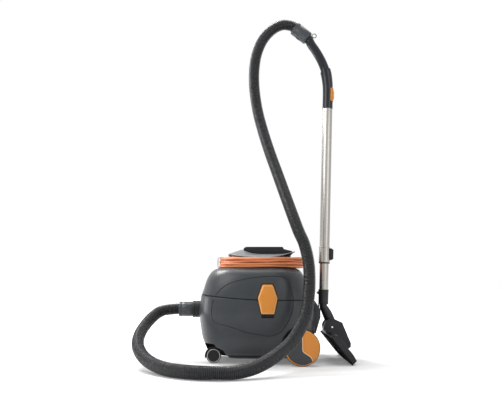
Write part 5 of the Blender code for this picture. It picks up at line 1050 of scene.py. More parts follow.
def bent_by_hand(points):
    """Slow sways of the free turns, as of a sheath that was wound by hand."""
    floor = DECK_HEIGHT + 0.0004 + CORD_RADIUS
    out = []
    for k, point in enumerate(points):
        ease = min(1.0, k / 20, (len(points) - 1 - k) / 20)
        share = k / len(points)
        outward = Vector((point.x - CORD_X, point.y, 0.0)).normalized()
        around = math.atan2(point.y, point.x - CORD_X)
        wave = math.sin(around * 3.0 + share * 9.0) + 0.6 * math.sin(around * 5.0 - share * 17.0)
        rise = math.sin(around * 2.0 - share * 13.0) + 0.5 * math.sin(around * 7.0 + share * 21.0)
        sway = ease * (CORD_SWAY * (0.6 + 0.8 * share) * wave)
        lift = ease * (CORD_SWAY * (0.4 + 1.2 * share) * rise)
        moved = point + outward * sway + Vector((0.0, 0.0, lift))
        moved.z = max(moved.z, floor if ease > 0.0 else moved.z)
        out.append(moved)
    return out


class VACUUM_OT_mains_cord(bpy.types.Operator):
    """Builds the coiled mains cord with its gland, plug, pins and clip"""

    bl_idname = "vacuum.mains_cord"
    bl_label = "Mains Cord"

    def execute(self, context):
        route = bent_by_hand(cord_route())
        run = smooth_path([tuple(p) for p in route], 0.0048)
        cord = skinned("mains_cord_sheath", rings_along(run, [CORD_RADIUS] * len(run), 12))
        stands_for(cord, "mains_cord", "orange sheath", 70.0)

        low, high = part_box("cord_gland")
        gland = block("gland_box", low, (high.x - 0.0235, high.y, high.z), 0.0016, 3)
        relief = [(0.0, -0.001)]
        back, front = -0.0255, 0.0
        for ring in range(6):
            foot = back + (front - back) * (0.1 + 0.15 * ring)
            wide = 0.006 - 0.00028 * ring
            relief += [(wide, foot), (wide, foot + 0.0022), (wide - 0.0011, foot + 0.0026),
                       (wide - 0.0011, foot + 0.0036)]
        relief = [(0.0, back), (0.006, back)] + relief[1:] + [(CORD_RADIUS + 0.0003, front),
                                                              (0.0, front)]
        boot = spun("gland_boot", relief, along_x(*GLAND_MOUTH), steps=40)
        join(gland, boot)
        gland.name = "cord_gland_boot"
        stands_for(gland, "cord_gland", "black plastic")

        body = spun("mains_plug_body", [
            (0.0, PLUG_LENGTH), (0.013, PLUG_LENGTH), (0.0152, PLUG_LENGTH - 0.0008),
            (PLUG_RADIUS, PLUG_LENGTH - 0.003), (PLUG_RADIUS, PLUG_LENGTH - 0.012),
            (0.0148, PLUG_LENGTH - 0.015), (0.0118, 0.0125), (0.0092, 0.0105), (0.0078, 0.008),
            (0.0074, 0.0055), (0.0064, 0.005), (0.0064, 0.0036), (0.0072, 0.003),
            (0.006, 0.0), (0.0, 0.0)],
            at(PLUG, -90.0), steps=72)
        stands_for(body, "mains_plug", "black plastic", 40.0)
        pins = [softened(f"plug_pin_{hand}", "polished steel", 0.0007, 3)
                for hand in ("left", "right")]

        middle = (CORD_LAYERS - 1) / 2
        around = math.radians(CLIP_ANGLE)
        ahead = coil_point(around + 0.02, 1.5, middle) - coil_point(around - 0.02, 1.5, middle)
        ahead.normalize()
        out = ahead.cross(Vector((0.0, 0.0, 1.0)))
        band = []
        for along in (-0.0045, 0.0045):
            ring = []
            for a in full_turn(64):
                u, v = CLIP_HALF * eased(math.cos(a), 0.3), CLIP_HALF * eased(math.sin(a), 0.3)
                ring.append(coil_point(around, 1.5, middle) + ahead * along + out * u
                            + Vector((0.0, 0.0, v)))
            band.append(ring)
        clip = skinned("cord_clip", band, ends=False)
        modified(clip, "SOLIDIFY", thickness=0.0009, offset=1.0)
        dressed(clip, "hood_body", "silver rim", "silver_rim")
        return {"FINISHED"}


# ---------------------------------------------------------------- body shell
def latch_rim(grow, drop=0.0, radius=0.0036):
    """Points (x, height) round a latch's six-sided face, with rounded corners."""
    (top, top_half), (waist, waist_half), (foot, foot_half) = LATCH_ROWS
    right = [(LATCH_X + top_half + grow * 0.8, top + grow - drop),
             (LATCH_X + waist_half + grow, waist),
             (LATCH_X + foot_half + grow * 0.8, foot - grow)]
    left = [(2 * LATCH_X - x, z) for x, z in reversed(right)]
    return soften(right + left, radius, 5)


def latch_layer(side, grow, proud, drop=0.0):
    """One layer of a latch's outline, laid on the side of the shell."""
    return [on_side(x, z, side, proud) for x, z in latch_rim(grow, drop)]


def latch_seat(side):
    """Cutter for the gap round a latch."""
    rows = [latch_layer(side, LATCH_GAP, -0.003), latch_layer(side, LATCH_GAP, 0.02)]
    return skinned("latch_seat", rows)


def paint_shade_in_seats(piece):
    """Gives the floor of the gap round each latch a black finish: painted shade in the recess."""
    piece.data.materials.append(finish_called("black plastic"))
    (top, _), (_, waist_half), (foot, _) = LATCH_ROWS
    for face in piece.data.polygons:
        x, y, z = face.center
        if abs(x - LATCH_X) < waist_half + 0.005 and foot - 0.015 < z < top + 0.005:
            if 0.0008 < side_at(x, z) - abs(y) < 0.013:
                face.material_index = 1


def knuckle_room(side, grow):
    """Cutter for the room behind a latch's knuckle."""
    surface = side_at(LATCH_X, LATCH_ROWS[0][0])
    half = LATCH_ROWS[0][1] + LATCH_ROOM_SPARE + grow
    deep = surface - LATCH_PIN_DEPTH - LATCH_KNUCKLE - 0.0015 - grow
    near, far = sorted((side * deep, side * (surface + 0.02)))
    return block("knuckle_room", (LATCH_X - half, near, LATCH_ROWS[0][0] - 0.02 - grow),
                 (LATCH_X + half, far, LATCH_ROWS[0][0] + 0.0015 + grow))


def tank_rooms(side, grow):
    """Cutters for one caster's pocket and doorway, one wheel arch and one finger gap."""
    wide, narrow = POCKET_RADIUS + grow, 0.0043 + grow
    ceiling, top = POCKET_TOP + grow, POCKET_TOP + 0.018 + grow
    pocket = spun("caster_pocket", [(0.0, top), (narrow, top), (narrow, ceiling),
                                    (wide - 0.002, ceiling), (wide, ceiling - 0.002),
                                    (wide, -0.02), (0.0, -0.02)],
                  Matrix.Translation((CASTER_X, side * CASTER_Y, 0.0)), steps=64)
    reach = 0.065 - grow
    corners = [(BODY_FRONT - 0.02, -0.02), (BODY_FRONT - 0.02, DOOR_TOP + grow),
               (-0.172, DOOR_TOP + grow), (-0.152 + grow, DOOR_TOP - 0.009 + grow),
               (-0.146 + grow, BASE_HEIGHT + 0.002), (-0.143 + grow, -0.02)]
    door = extruded("caster_door", soften(corners, 0.006, 5), 0.25 - reach,
                    Matrix.Translation((0.0, side * (0.25 + reach) / 2, 0.0)))
    arch = rod("wheel_arch", ARCH_RADIUS + grow, WHEEL_OUTER - WHEEL_WIDTH - 0.0035 - grow, 0.25,
               along_y(side, WHEEL_X, WHEEL_RADIUS), 96)
    low, high, foot, top = SCOOP
    surface = side_at(LATCH_X, foot)
    near, far = sorted((side * (surface - SCOOP_DEPTH - grow), side * (surface + 0.02)))
    scoop = block("finger_scoop", (low - grow, near, foot - grow), (high + grow, far, top + grow),
                  0.003 if grow == 0.0 else 0.0, 3)
    return pocket, door, arch, scoop


def panel_groove(side):
    """A thin tube that lies in the surface along the edge of a side panel."""
    line = smooth_path([*SIDE_PANEL, SIDE_PANEL[0]], 0.003)[:-1]
    rows = rings_along([on_side(x, z, side) for x, z in line], [sizes().groove] * len(line), 8)
    return skinned("panel_groove", rows, ring=True)


def rear_grille():
    """Thin tubes across the back of the hood, which cut the slots of the exhaust grille."""
    tubes = []
    for height in np.linspace(0.235, 0.268, 7):
        _, rear, side = on_span(HOOD_SECTIONS, HOOD_SPAN, height)
        reach, half = BODY_REAR - rear - BODY_MID, BODY_HALF_WIDTH - side
        line = [(BODY_MID + reach * (1 - (abs(y) / half) ** OUTLINE_POWER) ** (1 / OUTLINE_POWER),
                 y, height) for y in np.linspace(-0.078, 0.022, 30)]
        tubes.append(skinned("grille_slot", rings_along(line, [0.0013] * len(line), 10)))
    return tubes


class VACUUM_OT_tank(bpy.types.Operator):
    """Builds the tank with its caster pockets, wheel arches, finger gaps and panel lines"""

    bl_idname = "vacuum.tank"
    bl_label = "Tank"

    def execute(self, context):
        lip, end = sizes().lip, insets_at(TANK_SECTIONS, 1.0)
        tank = skinned("tank_shell", [
            *shell_rows(TANK_SECTIONS, TANK_SPAN, 0.0, sizes().row_step)[:-1],
            *[lip_row(end, inset, -(PARTING_HALF_GAP + down)) for down, inset in
              ((lip, 0.0), (0.35 * lip, 0.25 * lip), (0.0, lip))]])
        inner = [inner_row(TANK_SECTIONS, TANK_SPAN, share) for share in
                 (SHELL_WALL / TANK_SPAN[1], 0.08, 0.14, 0.24, 0.34, 0.5, 0.69, 0.85, 1.0)]
        above = inner[-1].copy()
        above[:, 2] += 0.02
        cavity = skinned("tank_cavity", [*inner, above])
        for hand in (-1, 1):
            cut(cavity, *tank_rooms(hand, ARCH_WALL))
        cut(tank, cavity)
        for hand in (-1, 1):
            cut(tank, *tank_rooms(hand, 0.0), latch_seat(hand), panel_groove(hand))
        cut(tank, rod("inlet_hole", 0.0278, -0.26, -0.2, along_x(0.0, 0.0, INLET_HEIGHT), 96))
        stands_for(tank, "tank", "anthracite shell", 24.0)
        paint_shade_in_seats(tank)
        # a dark block under the tank: painted shade that fills the shadow on the floor beneath it
        shade_block = skinned("tank_skid", [
            shell_row(front + 0.005, rear + 0.005, side + 0.005, height)
            for height, front, rear, side in SHADE_BLOCK_SECTIONS])
        for hand in (-1, 1):
            cut(shade_block, *tank_rooms(hand, 0.0005))
        dressed(shade_block, "tank_body", "black plastic", "black_plastic")
        return {"FINISHED"}


class VACUUM_OT_hood(bpy.types.Operator):
    """Builds the hood with its latch rooms, panel lines, button hole and grille"""

    bl_idname = "vacuum.hood"
    bl_label = "Hood"

    def execute(self, context):
        lip, start = sizes().lip, insets_at(HOOD_SECTIONS, 0.0)
        hood = skinned("hood_shell", [
            *[lip_row(start, inset, PARTING_HALF_GAP + up) for up, inset in
              ((0.0, lip), (0.35 * lip, 0.25 * lip), (lip, 0.0))],
            *shell_rows(HOOD_SECTIONS, HOOD_SPAN, 0.0, sizes().row_step)[1:]])
        inner = [inner_row(HOOD_SECTIONS, HOOD_SPAN, share) for share in
                 (0.0, 0.15, 0.3, 0.43, 0.57, 0.68, 0.79, 0.86, 0.93)]
        below = inner[0].copy()
        below[:, 2] -= 0.02
        last = inner_row(HOOD_SECTIONS, HOOD_SPAN, 1.0 - SHELL_WALL / HOOD_SPAN[1],
                         SHELL_WALL * 1.6)
        cavity = skinned("hood_cavity", [below, *inner, last])
        for hand in (-1, 1):
            cut(cavity, knuckle_room(hand, ARCH_WALL))
        cut(hood, cavity)
        for hand in (-1, 1):
            cut(hood, knuckle_room(hand, 0.0), latch_seat(hand), panel_groove(hand))
        low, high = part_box("power_button")
        cut(hood, rod("button_hole", 0.0135, low.x - 0.03, high.x + 0.03,
                      along_x(0.0, (low.y + high.y) / 2, (low.z + high.z) / 2), 64))
        cut(hood, *rear_grille())
        stands_for(hood, "hood", "anthracite shell", 24.0)
        paint_shade_in_seats(hood)
        return {"FINISHED"}


class VACUUM_OT_latches(bpy.types.Operator):
    """Builds the two clamps that hold the hood on the tank"""

    bl_idname = "vacuum.latches"
    bl_label = "Latches"

    def execute(self, context):
        for side, hand in ((-1, "left"), (1, "right")):
            layers = ((0.0, -0.0012, 0.0), (0.0, 0.0027, LATCH_TOP_SLOPE),
                      (-0.0004, 0.0032, LATCH_TOP_SLOPE), (-0.0032, 0.005, 0.0022),
                      (-0.0042, 0.0054, 0.0014), (-0.0065, 0.0056, 0.0008),
                      (-0.011, 0.0058, 0.0))
            latch = skinned(f"latch_clamp_{hand}", [latch_layer(side, grow, proud, drop)
                                                    for grow, proud, drop in layers])
            axis_y = side * (side_at(LATCH_X, LATCH_ROWS[0][0]) - LATCH_PIN_DEPTH)
            half = LATCH_ROWS[0][1] - 0.0005
            place = along_x(LATCH_X, axis_y, LATCH_PIVOT_HEIGHT)
            cut(latch, rod("knuckle", LATCH_KNUCKLE, -half, half, place, 48), operation="UNION")
            cut(latch, rod("pin_bore", 0.0021, -0.03, 0.03, place, 32))
            stands_for(latch, f"latch_{hand}", "orange trim", 26.0)
            # the bevel faces round each latch's face get a paler orange: a painted highlight along
            # its edge
            latch.data.materials.append(finish_called("latch edge"))
            for face in latch.data.polygons:
                x, y, z = face.center
                proud = abs(y) - side_at(x, z)
                if 0.003 < proud < 0.0053 and face.normal.y * side < 0.93:
                    face.material_index = 1
        return {"FINISHED"}


# ---------------------------------------------------------------- rim and grip
def rim_place(angle, mid, half_length, half_width, height, lift=1.0):
    """A point on one of the rim's ovals, which rise at both ends."""
    share = eased(math.cos(angle), 2 / RIM_POWER)
    swell = RIM_REAR_LIFT if share > 0 else RIM_FRONT_LIFT
    return np.array((mid + half_length * share, half_width * eased(math.sin(angle), 2 / RIM_POWER),
                     height + swell * share * share * lift))


SADDLE_RISE = 0.0165       # of the well's lip at its front, beside the grip


def rim_section(angle):
    """The rim's closed section at one angle: skirt, edge, saddle, well, neck and underside."""
    edge = rim_place(angle, RIM_X, RIM_HALF_LENGTH, RIM_HALF_WIDTH, RIM_EDGE_HEIGHT)
    inner = rim_place(angle, WELL_X, WELL_HALF_LENGTH, WELL_HALF_WIDTH, RIM_INNER_HEIGHT, 0.1)
    ahead = max(0.0, (WELL_X - inner[0]) / WELL_HALF_LENGTH)
    inner += np.array((-0.008 * ahead ** 6, 0.0, SADDLE_RISE * ahead ** 4))
    long, wide = WELL_HALF_LENGTH + NECK_WALL, WELL_HALF_WIDTH + NECK_WALL
    under = rim_place(angle, WELL_X, long, wide, RIM_INNER_HEIGHT - 2 * RIM_THICK, 0.1)
    foot = DECK_HEIGHT + 0.0003
    well_foot = rim_place(angle, WELL_X, WELL_HALF_LENGTH, WELL_HALF_WIDTH, foot, 0.0)
    neck_foot = rim_place(angle, WELL_X, long, wide, foot, 0.0)
    under_edge = np.array((RIM_X + (edge[0] - RIM_X) * 0.975, edge[1] * 0.965,
                           edge[2] - RIM_THICK))
    share = min(1.0, max(0.0, (edge[0] - RIM_X + 0.004) / 0.016))
    skirt = edge - np.array((0.0, 0.0, RIM_THICK + 0.0058 - 0.0042 * share))
    return soften([skirt, edge, inner, well_foot, neck_foot, under, under_edge], 0.0022, 4)


class VACUUM_OT_rim(bpy.types.Operator):
    """Builds the handle rim that keeps the cord on, and the carry grip"""

    bl_idname = "vacuum.rim"
    bl_label = "Rim and Grip"

    def execute(self, context):
        rows = [rim_section(a) for a in full_turn(144)]
        rim = skinned("rim_saddle", rows, ring=True)
        stands_for(rim, "handle_rim", "silver rim", 40.0)
        # faces under the rim's edge, and the well's faces that don't look up, get black plastic:
        # painted shade, so that only the upward faces stay silver
        rim.data.materials.append(finish_called("black plastic"))
        for face in rim.data.polygons:
            x, y, z = face.center
            share = (x - RIM_X) / RIM_HALF_LENGTH
            swell = RIM_REAR_LIFT if share > 0 else RIM_FRONT_LIFT
            inside = ((x - WELL_X) / WELL_HALF_LENGTH) ** 2 + (y / WELL_HALF_WIDTH) ** 2 < 1.35
            under = z < RIM_EDGE_HEIGHT + swell * share * share - 0.0022
            if (under and not inside) or (inside and face.normal.z < 0.3):
                face.material_index = 1
        low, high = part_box("carry_grip")
        lip = [WELL_X - WELL_HALF_LENGTH, WELL_X + WELL_HALF_LENGTH]
        seat = [RIM_INNER_HEIGHT + 0.0023, RIM_INNER_HEIGHT + 0.0039]
        outline = [(low.x, seat[0]), (low.x + 0.006, high.z - 0.004), (low.x + 0.014, high.z),
                   (0.043, high.z), (0.0465, high.z - 0.0075), (high.x, seat[1] + 0.0075),
                   (high.x, seat[1] + 0.002), (lip[1] - 0.0004, seat[1]),
                   (lip[1] - 0.01, low.z), (lip[0] + 0.01, low.z), (lip[0] + 0.0004, seat[0])]
        grip = extruded("grip_bar", soften(outline, 0.003, 3), high.y - low.y, None,
                        sizes().grip_round, 5)
        stands_for(grip, "carry_grip", "grip rubber", 40.0)
        return {"FINISHED"}


# ---------------------------------------------------------------- wheels
def leaf_points():
    """The hub leaf's outline: its arc along the hub, and its inner edge."""
    radius = CAP_RADIUS - 0.0042
    arc = [(radius * math.cos(a), radius * math.sin(a))
           for a in np.radians(np.linspace(86.0, 309.0, 72))]
    return arc, soften([arc[-1], (0.027, -0.027), (0.001, -0.011), (0.001, 0.038),
                        arc[0]], 0.0075, 7, False)


class VACUUM_OT_rear_wheels(bpy.types.Operator):
    """Builds the rear wheels with their tyres, hub caps and leaf inserts"""

    bl_idname = "vacuum.rear_wheels"
    bl_label = "Rear Wheels"

    def execute(self, context):
        outer, inner = WHEEL_OUTER, WHEEL_OUTER - WHEEL_WIDTH
        radius, disc = WHEEL_RADIUS, WHEEL_RADIUS - 0.0058
        for side, hand in ((-1, "left"), (1, "right")):
            body, place = f"rear_wheel_{hand}", along_y(side, WHEEL_X, WHEEL_RADIUS)
            tread = [(disc + 0.0003, inner + 0.001), (radius - 0.0016, inner + 0.001),
                     (radius, inner + 0.003)]
            half = sizes().tread_groove / 2
            for z in np.linspace(inner + 0.0075, outer - 0.0075, 3):
                tread += [(radius, z - half - 0.0003), (radius - 0.001, z - half),
                          (radius - 0.001, z + half), (radius, z + half + 0.0003)]
            tread += [(radius, outer - 0.0036), (radius - 0.0008, outer - 0.0012),
                      (radius - 0.0024, outer), (disc + 0.0003, outer)]
            tyre = spun(f"rear_tyre_{hand}_ring", tread, place, 96, bored=True)
            stands_for(tyre, f"rear_tyre_{hand}", "tyre rubber", 40.0)
            wheel = spun(f"rear_wheel_{hand}_disc", [
                (disc, outer), (disc, inner + 0.002), (disc - 0.006, inner + 0.002),
                (0.026, outer - 0.008), (0.014, inner), (0.0055, inner), (0.0055, outer)],
                place, 96, 0.001, True)
            ribs = []
            for a in full_turn(8):
                ribs.append(block("rib", (0.0135, -0.0013, inner + 0.005),
                                  (disc - 0.0062, 0.0013, outer - 0.006), 0.0005, 2,
                                  place @ Matrix.Rotation(a, 4, "Z")))
            join(wheel, *ribs)
            stands_for(wheel, f"rear_wheel_{hand}", "black plastic", 40.0)
            foot = outer + 0.0003
            cap = spun(f"hub_cap_{hand}_disc", [
                (0.0, foot + 0.004), (CAP_RADIUS - 0.0052, foot + 0.004),
                (CAP_RADIUS - 0.0038, foot + 0.0038), (CAP_RADIUS - 0.0008, foot + 0.0018),
                (CAP_RADIUS, foot + 0.0008), (CAP_RADIUS, foot), (0.0, foot)], place, 96)
            stands_for(cap, f"hub_cap_{hand}", "orange trim", 30.0)

            arc, edge = leaf_points()
            leaf = extruded(f"hub_leaf_{hand}", [*arc[1:-1], *edge], 0.0014,
                            at((WHEEL_X, side * (foot + 0.005), WHEEL_RADIUS)), 0.0004, 2)
            stands_for(leaf, f"hub_insert_{hand}", "hub insert", 40.0)
            line = [Vector((WHEEL_X + p[0], side * (foot + 0.0047), WHEEL_RADIUS + p[1]))
                    for p in edge]
            bead = skinned(f"leaf_bead_{hand}",
                           rings_along(line, [sizes().bead] * len(line), 12))
            dressed(bead, body, "pale bead", "orange_trim", angle=60.0)
            softened(f"rear_axle_{hand}", "drawn steel", 0.0004)
        return {"FINISHED"}


class VACUUM_OT_casters(bpy.types.Operator):
    """Builds the swivelling casters with their fenders, twin wheels and bright rings"""

    bl_idname = "vacuum.casters"
    bl_label = "Casters"

    def execute(self, context):
        for side, hand in ((-1, "left"), (1, "right")):
            softened(f"caster_fork_{hand}", "black plastic", 0.0007, 3, angle=40.0)
            centre = Vector((CASTER_X - CASTER_TRAIL, side * CASTER_Y, CASTER_RADIUS))
            place = at(centre, 90.0)
            radius, face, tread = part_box(f"caster_wheels_{hand}")[1].z / 2, 0.0045, 0.013
            profile = [(0.0, tread - 0.0008), (radius - 0.0056, tread - 0.0008),
                       (radius - 0.005, tread), (radius - 0.0016, tread),
                       (radius, tread - 0.0018), (radius, face + 0.0012),
                       (radius - 0.0012, face), (0.006, face), (0.003, face - 0.0004)]
            profile += [(r, -z) for r, z in reversed(profile)]
            wheels = spun(f"caster_wheels_{hand}_pair", profile, place, 72)
            stands_for(wheels, f"caster_wheels_{hand}", "black plastic", 40.0)
            wide = sizes().ring
            for end in (-1, 1):
                ring = spun(f"caster_ring_{hand}_{'outer' if end < 0 else 'inner'}", [
                    (radius - 0.002 - wide, tread - 0.0004), (radius - 0.002, tread - 0.0004),
                    (radius - 0.0022, tread + 0.0005), (radius - 0.0018 - wide, tread + 0.0005)],
                    place @ at((0.0, 0.0, 0.0), 180.0 * (end < 0)), 72, 0.0003, True)
                dressed(ring, f"caster_wheels_{hand}", "drawn steel", "chrome", angle=40.0)
        return {"FINISHED"}


# ---------------------------------------------------------------- wand
def wand_at(height):
    """A point on the wand's axis."""
    return WAND_FOOT + WAND_AXIS * height


def handle_line(step):
    """The handle's centre line, from the tube's top to its plug in the cuff."""
    foot = wand_at(OUTER_TUBE[1] + 0.0003)
    outside = HANDLE_CUFF_MOUTH + HANDLE_CUFF_HEADING * (HANDLE_CUFF_LENGTH + 0.004)
    inside = HANDLE_CUFF_MOUTH + HANDLE_CUFF_HEADING * (HANDLE_CUFF_LENGTH - 0.015)
    middle = [(x, 0.0, z) for x, z in HANDLE_ROUTE]
    return np.vstack([smooth_path([tuple(foot), *middle, tuple(outside)], step), tuple(inside)])


class VACUUM_OT_tubes(bpy.types.Operator):
    """Builds the two steel tubes, the telescope collar and its release lever"""

    bl_idname = "vacuum.tubes"
    bl_label = "Tubes and Telescope Collar"

    def execute(self, context):
        low, high = OUTER_TUBE
        outer = spun("outer_tube_sleeve", [
            (OUTER_BORE, low), (OUTER_RADIUS, low), (OUTER_RADIUS, high - 0.001),
            (OUTER_RADIUS - 0.0003, high), (OUTER_BORE, high)], WAND_FRAME, 96, bored=True)
        stands_for(outer, "outer_tube", "drawn steel", 40.0)
        foot, top = INNER_TUBE
        inner = spun("inner_tube_sleeve", [
            (INNER_BORE, foot), (INNER_RADIUS, foot), (INNER_RADIUS, top - 0.001),
            (INNER_RADIUS - 0.00035, top), (INNER_BORE, top)], WAND_FRAME, 96, bored=True)
        stands_for(inner, "inner_tube", "drawn steel", 40.0)
        collar = spun("collar_flare", [
            (COLLAR_BORE, 0.1412), (0.0192, 0.1412), (0.0192, 0.15), (0.0187, 0.156),
            (0.0184, 0.17), (0.0184, 0.19), (0.019, 0.1908), (0.019, 0.193),
            (0.0184, 0.1935), (0.0173, 0.1935), (0.0173, 0.1497), (COLLAR_BORE, 0.1497)],
            WAND_FRAME, 96, bored=True)
        dressed(collar, "wand_upper", "drawn steel", "steel_tube", "telescope_collar", angle=30.0)
        ring = spun("collar_foot", [
            (COLLAR_BORE, 0.137), (0.0182, 0.137), (0.019, 0.1378), (0.019, 0.1404),
            (0.0184, 0.141), (COLLAR_BORE, 0.141)], WAND_FRAME, 96, bored=True)
        dressed(ring, "wand_upper", "black plastic", "black_plastic", angle=30.0)
        housing = block("release_housing", (0.0165, -0.0097, 0.1493), (0.0255, 0.0097, 0.1897),
                        0.0022, 4, WAND_FRAME)
        cut(housing, rod("sleeve_room", 0.0174, 0.12, 0.21, WAND_FRAME, 64),
            block("lever_room", (0.015, -0.0075, 0.1515), (0.04, 0.0075, 0.1875), 0.0, 2,
                  WAND_FRAME))
        dressed(housing, "wand_upper", "black plastic", "black_plastic")
        softened("telescope_release", "black plastic", 0.0009, 3)
        return {"FINISHED"}


# turns an outline of (height, across), extruded along Y, to look along X
PAD_TURN = Matrix(((0.0, 1.0, 0.0, 0.0), (0.0, 0.0, 1.0, 0.0), (1.0, 0.0, 0.0, 0.0),
                   (0.0, 0.0, 0.0, 1.0)))


class VACUUM_OT_handle(bpy.types.Operator):
    """Builds the curved handle with its sleeve, suction slider and hanging eye"""

    bl_idname = "vacuum.handle"
    bl_label = "Handle"

    def execute(self, context):
        line = handle_line(0.005)
        ease = np.clip((line[:, 2] - 0.985) / 0.035, 0.0, 1.0)
        radii = HANDLE_RADIUS + (HANDLE_NECK_RADIUS - HANDLE_RADIUS) * ease * ease * (3 - 2 * ease)
        spigot = [tuple(wand_at(OUTER_TUBE[1] - 0.025)), tuple(wand_at(OUTER_TUBE[1] - 0.0001))]
        handle = skinned("handle_bend", rings_along(
            np.vstack([spigot, line]), [0.0152, 0.0152, *radii], 72))
        stands_for(handle, "wand_handle", "handle gloss", 40.0)

        part = line[(line[:, 2] > SLEEVE_SPAN[0]) & (line[:, 2] < SLEEVE_SPAN[1])]
        grown = np.interp(part[:, 2], (SLEEVE_SPAN[0], 0.95, 1.0), (0.0009, 0.0011, 0.0024))
        sleeve = skinned("handle_sleeve", rings_along(part, HANDLE_RADIUS + np.array(grown), 72))
        cut(sleeve, block("slant", (-0.06, -0.06, 0.0), (0.06, 0.06, 0.08), 0.0, 2,
                          at((0.203, 0.0, 1.011), -24.0, "Y")))
        rounded(sleeve, 0.0006, 3, 50.0)
        dressed(sleeve, "wand_upper", "handle gloss", "handle_plastic", angle=40.0)

        low, top = SLIDER_SPAN
        skin = HANDLE_RADIUS + 0.0011
        pad = spun("suction_pad", [
            (skin, low), (skin + 0.0006, low), (skin + 0.0024, low + 0.008),
            (skin + 0.0032, low + 0.015), (skin + 0.0032, top - 0.015),
            (skin + 0.0024, top - 0.008), (skin + 0.0006, top), (skin, top)], WAND_FRAME, 96,
            bored=True)
        rim = extruded("pad_rim", soften([(low, -0.016), (low + 0.008, -0.0175),
                                          (top - 0.008, -0.0175), (top, -0.016), (top, 0.016),
                                          (top - 0.008, 0.0175), (low + 0.008, 0.0175),
                                          (low, 0.016)], 0.006, 4), 0.03,
                       WAND_FRAME @ Matrix.Translation((0.0225, 0.0, 0.0)) @ PAD_TURN)
        cut(pad, rim, operation="INTERSECT")
        rounded(pad, 0.0006, 3, 50.0)
        ridges = [block("ridge", (skin + 0.0028, -0.006, low + 0.015 + 0.0036 * k),
                        (skin + 0.0037, 0.006, low + 0.0162 + 0.0036 * k), 0.0003, 2, WAND_FRAME)
                  for k in range(6)]
        join(pad, *ridges)
        stands_for(pad, "suction_slider", "orange trim")

        up = Vector((-HANDLE_CUFF_HEADING.z, 0.0, HANDLE_CUFF_HEADING.x))
        eye = (HANDLE_CUFF_MOUTH + HANDLE_CUFF_HEADING * (HANDLE_CUFF_LENGTH + 0.0105)
               + up * (HANDLE_NECK_RADIUS + 0.0073))
        wire = [(0.0075 + 0.0014 * math.cos(a), 0.0014 * math.sin(a)) for a in full_turn(16)]
        loop = spun("hanging_loop", wire, at(eye, 90.0), 56, bored=True)
        stands_for(loop, "hanging_eye", "black plastic", 60.0)
        return {"FINISHED"}


class VACUUM_OT_dock(bpy.types.Operator):
    """Builds the docking bracket, the wand's socket with hook and stud, and the elbow"""

    bl_idname = "vacuum.dock"
    bl_label = "Dock, Socket and Elbow"

    def execute(self, context):
        softened("docking_bracket", "dock grey", 0.0012, 3)
        socket = spun("wand_socket", [
            (0.0132, 0.0), (0.0166, 0.0), (0.0172, 0.0008), (0.0172, 0.006), (0.0167, 0.0066),
            (0.0167, 0.008), (0.0172, 0.0086), (0.0172, 0.044), (0.0176, 0.0446),
            (0.0176, 0.0482), (0.017, 0.049), (0.01555, 0.049), (0.01555, 0.0102),
            (0.0132, 0.0102)], WAND_FRAME, 96, bored=True)
        hook = extruded("hook", [(-0.016, 0.03), (-0.016, 0.045), (-0.0185, 0.043),
                                 (-0.0245, 0.0365), (-0.0185, 0.032)], 0.006, WAND_FRAME,
                        0.0008, 2)
        drop = (DOCK_HEIGHT - WAND_FOOT.z) / math.cos(WAND_LEAN)
        tab = block("tab", (-0.017, -0.0035, drop - 0.0035), (-0.0136, 0.0035, 0.0092), 0.0005, 2,
                    WAND_FRAME)
        back = BODY_REAR + 0.0212 - 0.004 - 0.0005
        stud = spun("stud", [(0.0, WAND_FOOT.x - 0.0152), (0.0035, WAND_FOOT.x - 0.0152),
                             (0.0035, back), (0.0079, back), (0.0085, back - 0.0006),
                             (0.0085, back - 0.0029), (0.0079, back - 0.0035),
                             (0.0, back - 0.0035)], along_x(0.0, 0.0, DOCK_HEIGHT), 48)
        join(socket, hook, tab, stud)
        stands_for(socket, "nozzle_socket", "nozzle plastic")

        plug = wand_at(0.0092)
        knots = [plug, WAND_FOOT - WAND_AXIS * 0.0015, WAND_FOOT + Vector((0.0008, 0.0, -0.01)),
                 WAND_FOOT + Vector((0.0062, 0.0, -0.02)),
                 WAND_FOOT + Vector((0.014, 0.0, -0.036)),
                 TILT_CENTRE + Vector((0.002, 0.0, 0.01))]
        table = [(*point, radius) for point, radius in
                 zip(knots, (0.0127, 0.0127, 0.013, 0.0147, 0.0165, 0.0165))]
        smooth_table = smooth_path(table, 0.0025)
        elbow = skinned("elbow_bend", rings_along(smooth_table[:, :3], smooth_table[:, 3], 72))
        barrel = spun("barrel", [(0.0, -0.024), (0.0228, -0.024), (0.024, -0.0228),
                                 (0.024, 0.0228), (0.0228, 0.024), (0.0, 0.024)],
                      at(TILT_CENTRE, 90.0), 96)
        cut(elbow, barrel, operation="UNION")
        stands_for(elbow, "swivel_elbow", "nozzle plastic", 40.0)
        return {"FINISHED"}


# ---------------------------------------------------------------- floor nozzle
class VACUUM_OT_nozzle(bpy.types.Operator):
    """Builds the floor nozzle: cover, sole, pedal, pins and brushes"""

    bl_idname = "vacuum.nozzle"
    bl_label = "Floor Nozzle"

    def execute(self, context):
        softened("nozzle_cover", "nozzle plastic", 0.0016, 4)
        softened("nozzle_sole", "sole plastic", 0.0006, 2)
        softened("nozzle_pedal", "nozzle plastic", 0.0012, 3)
        softened("brush_strips", "bristles", 0.0)
        for name in ("tilt_pin_left", "tilt_pin_right", "pedal_pin"):
            softened(name, "polished steel", 0.0004)
        return {"FINISHED"}


# ---------------------------------------------------------------- inner parts and small parts
BAG_POWER = 0.55           # how square the bag is, seen from above
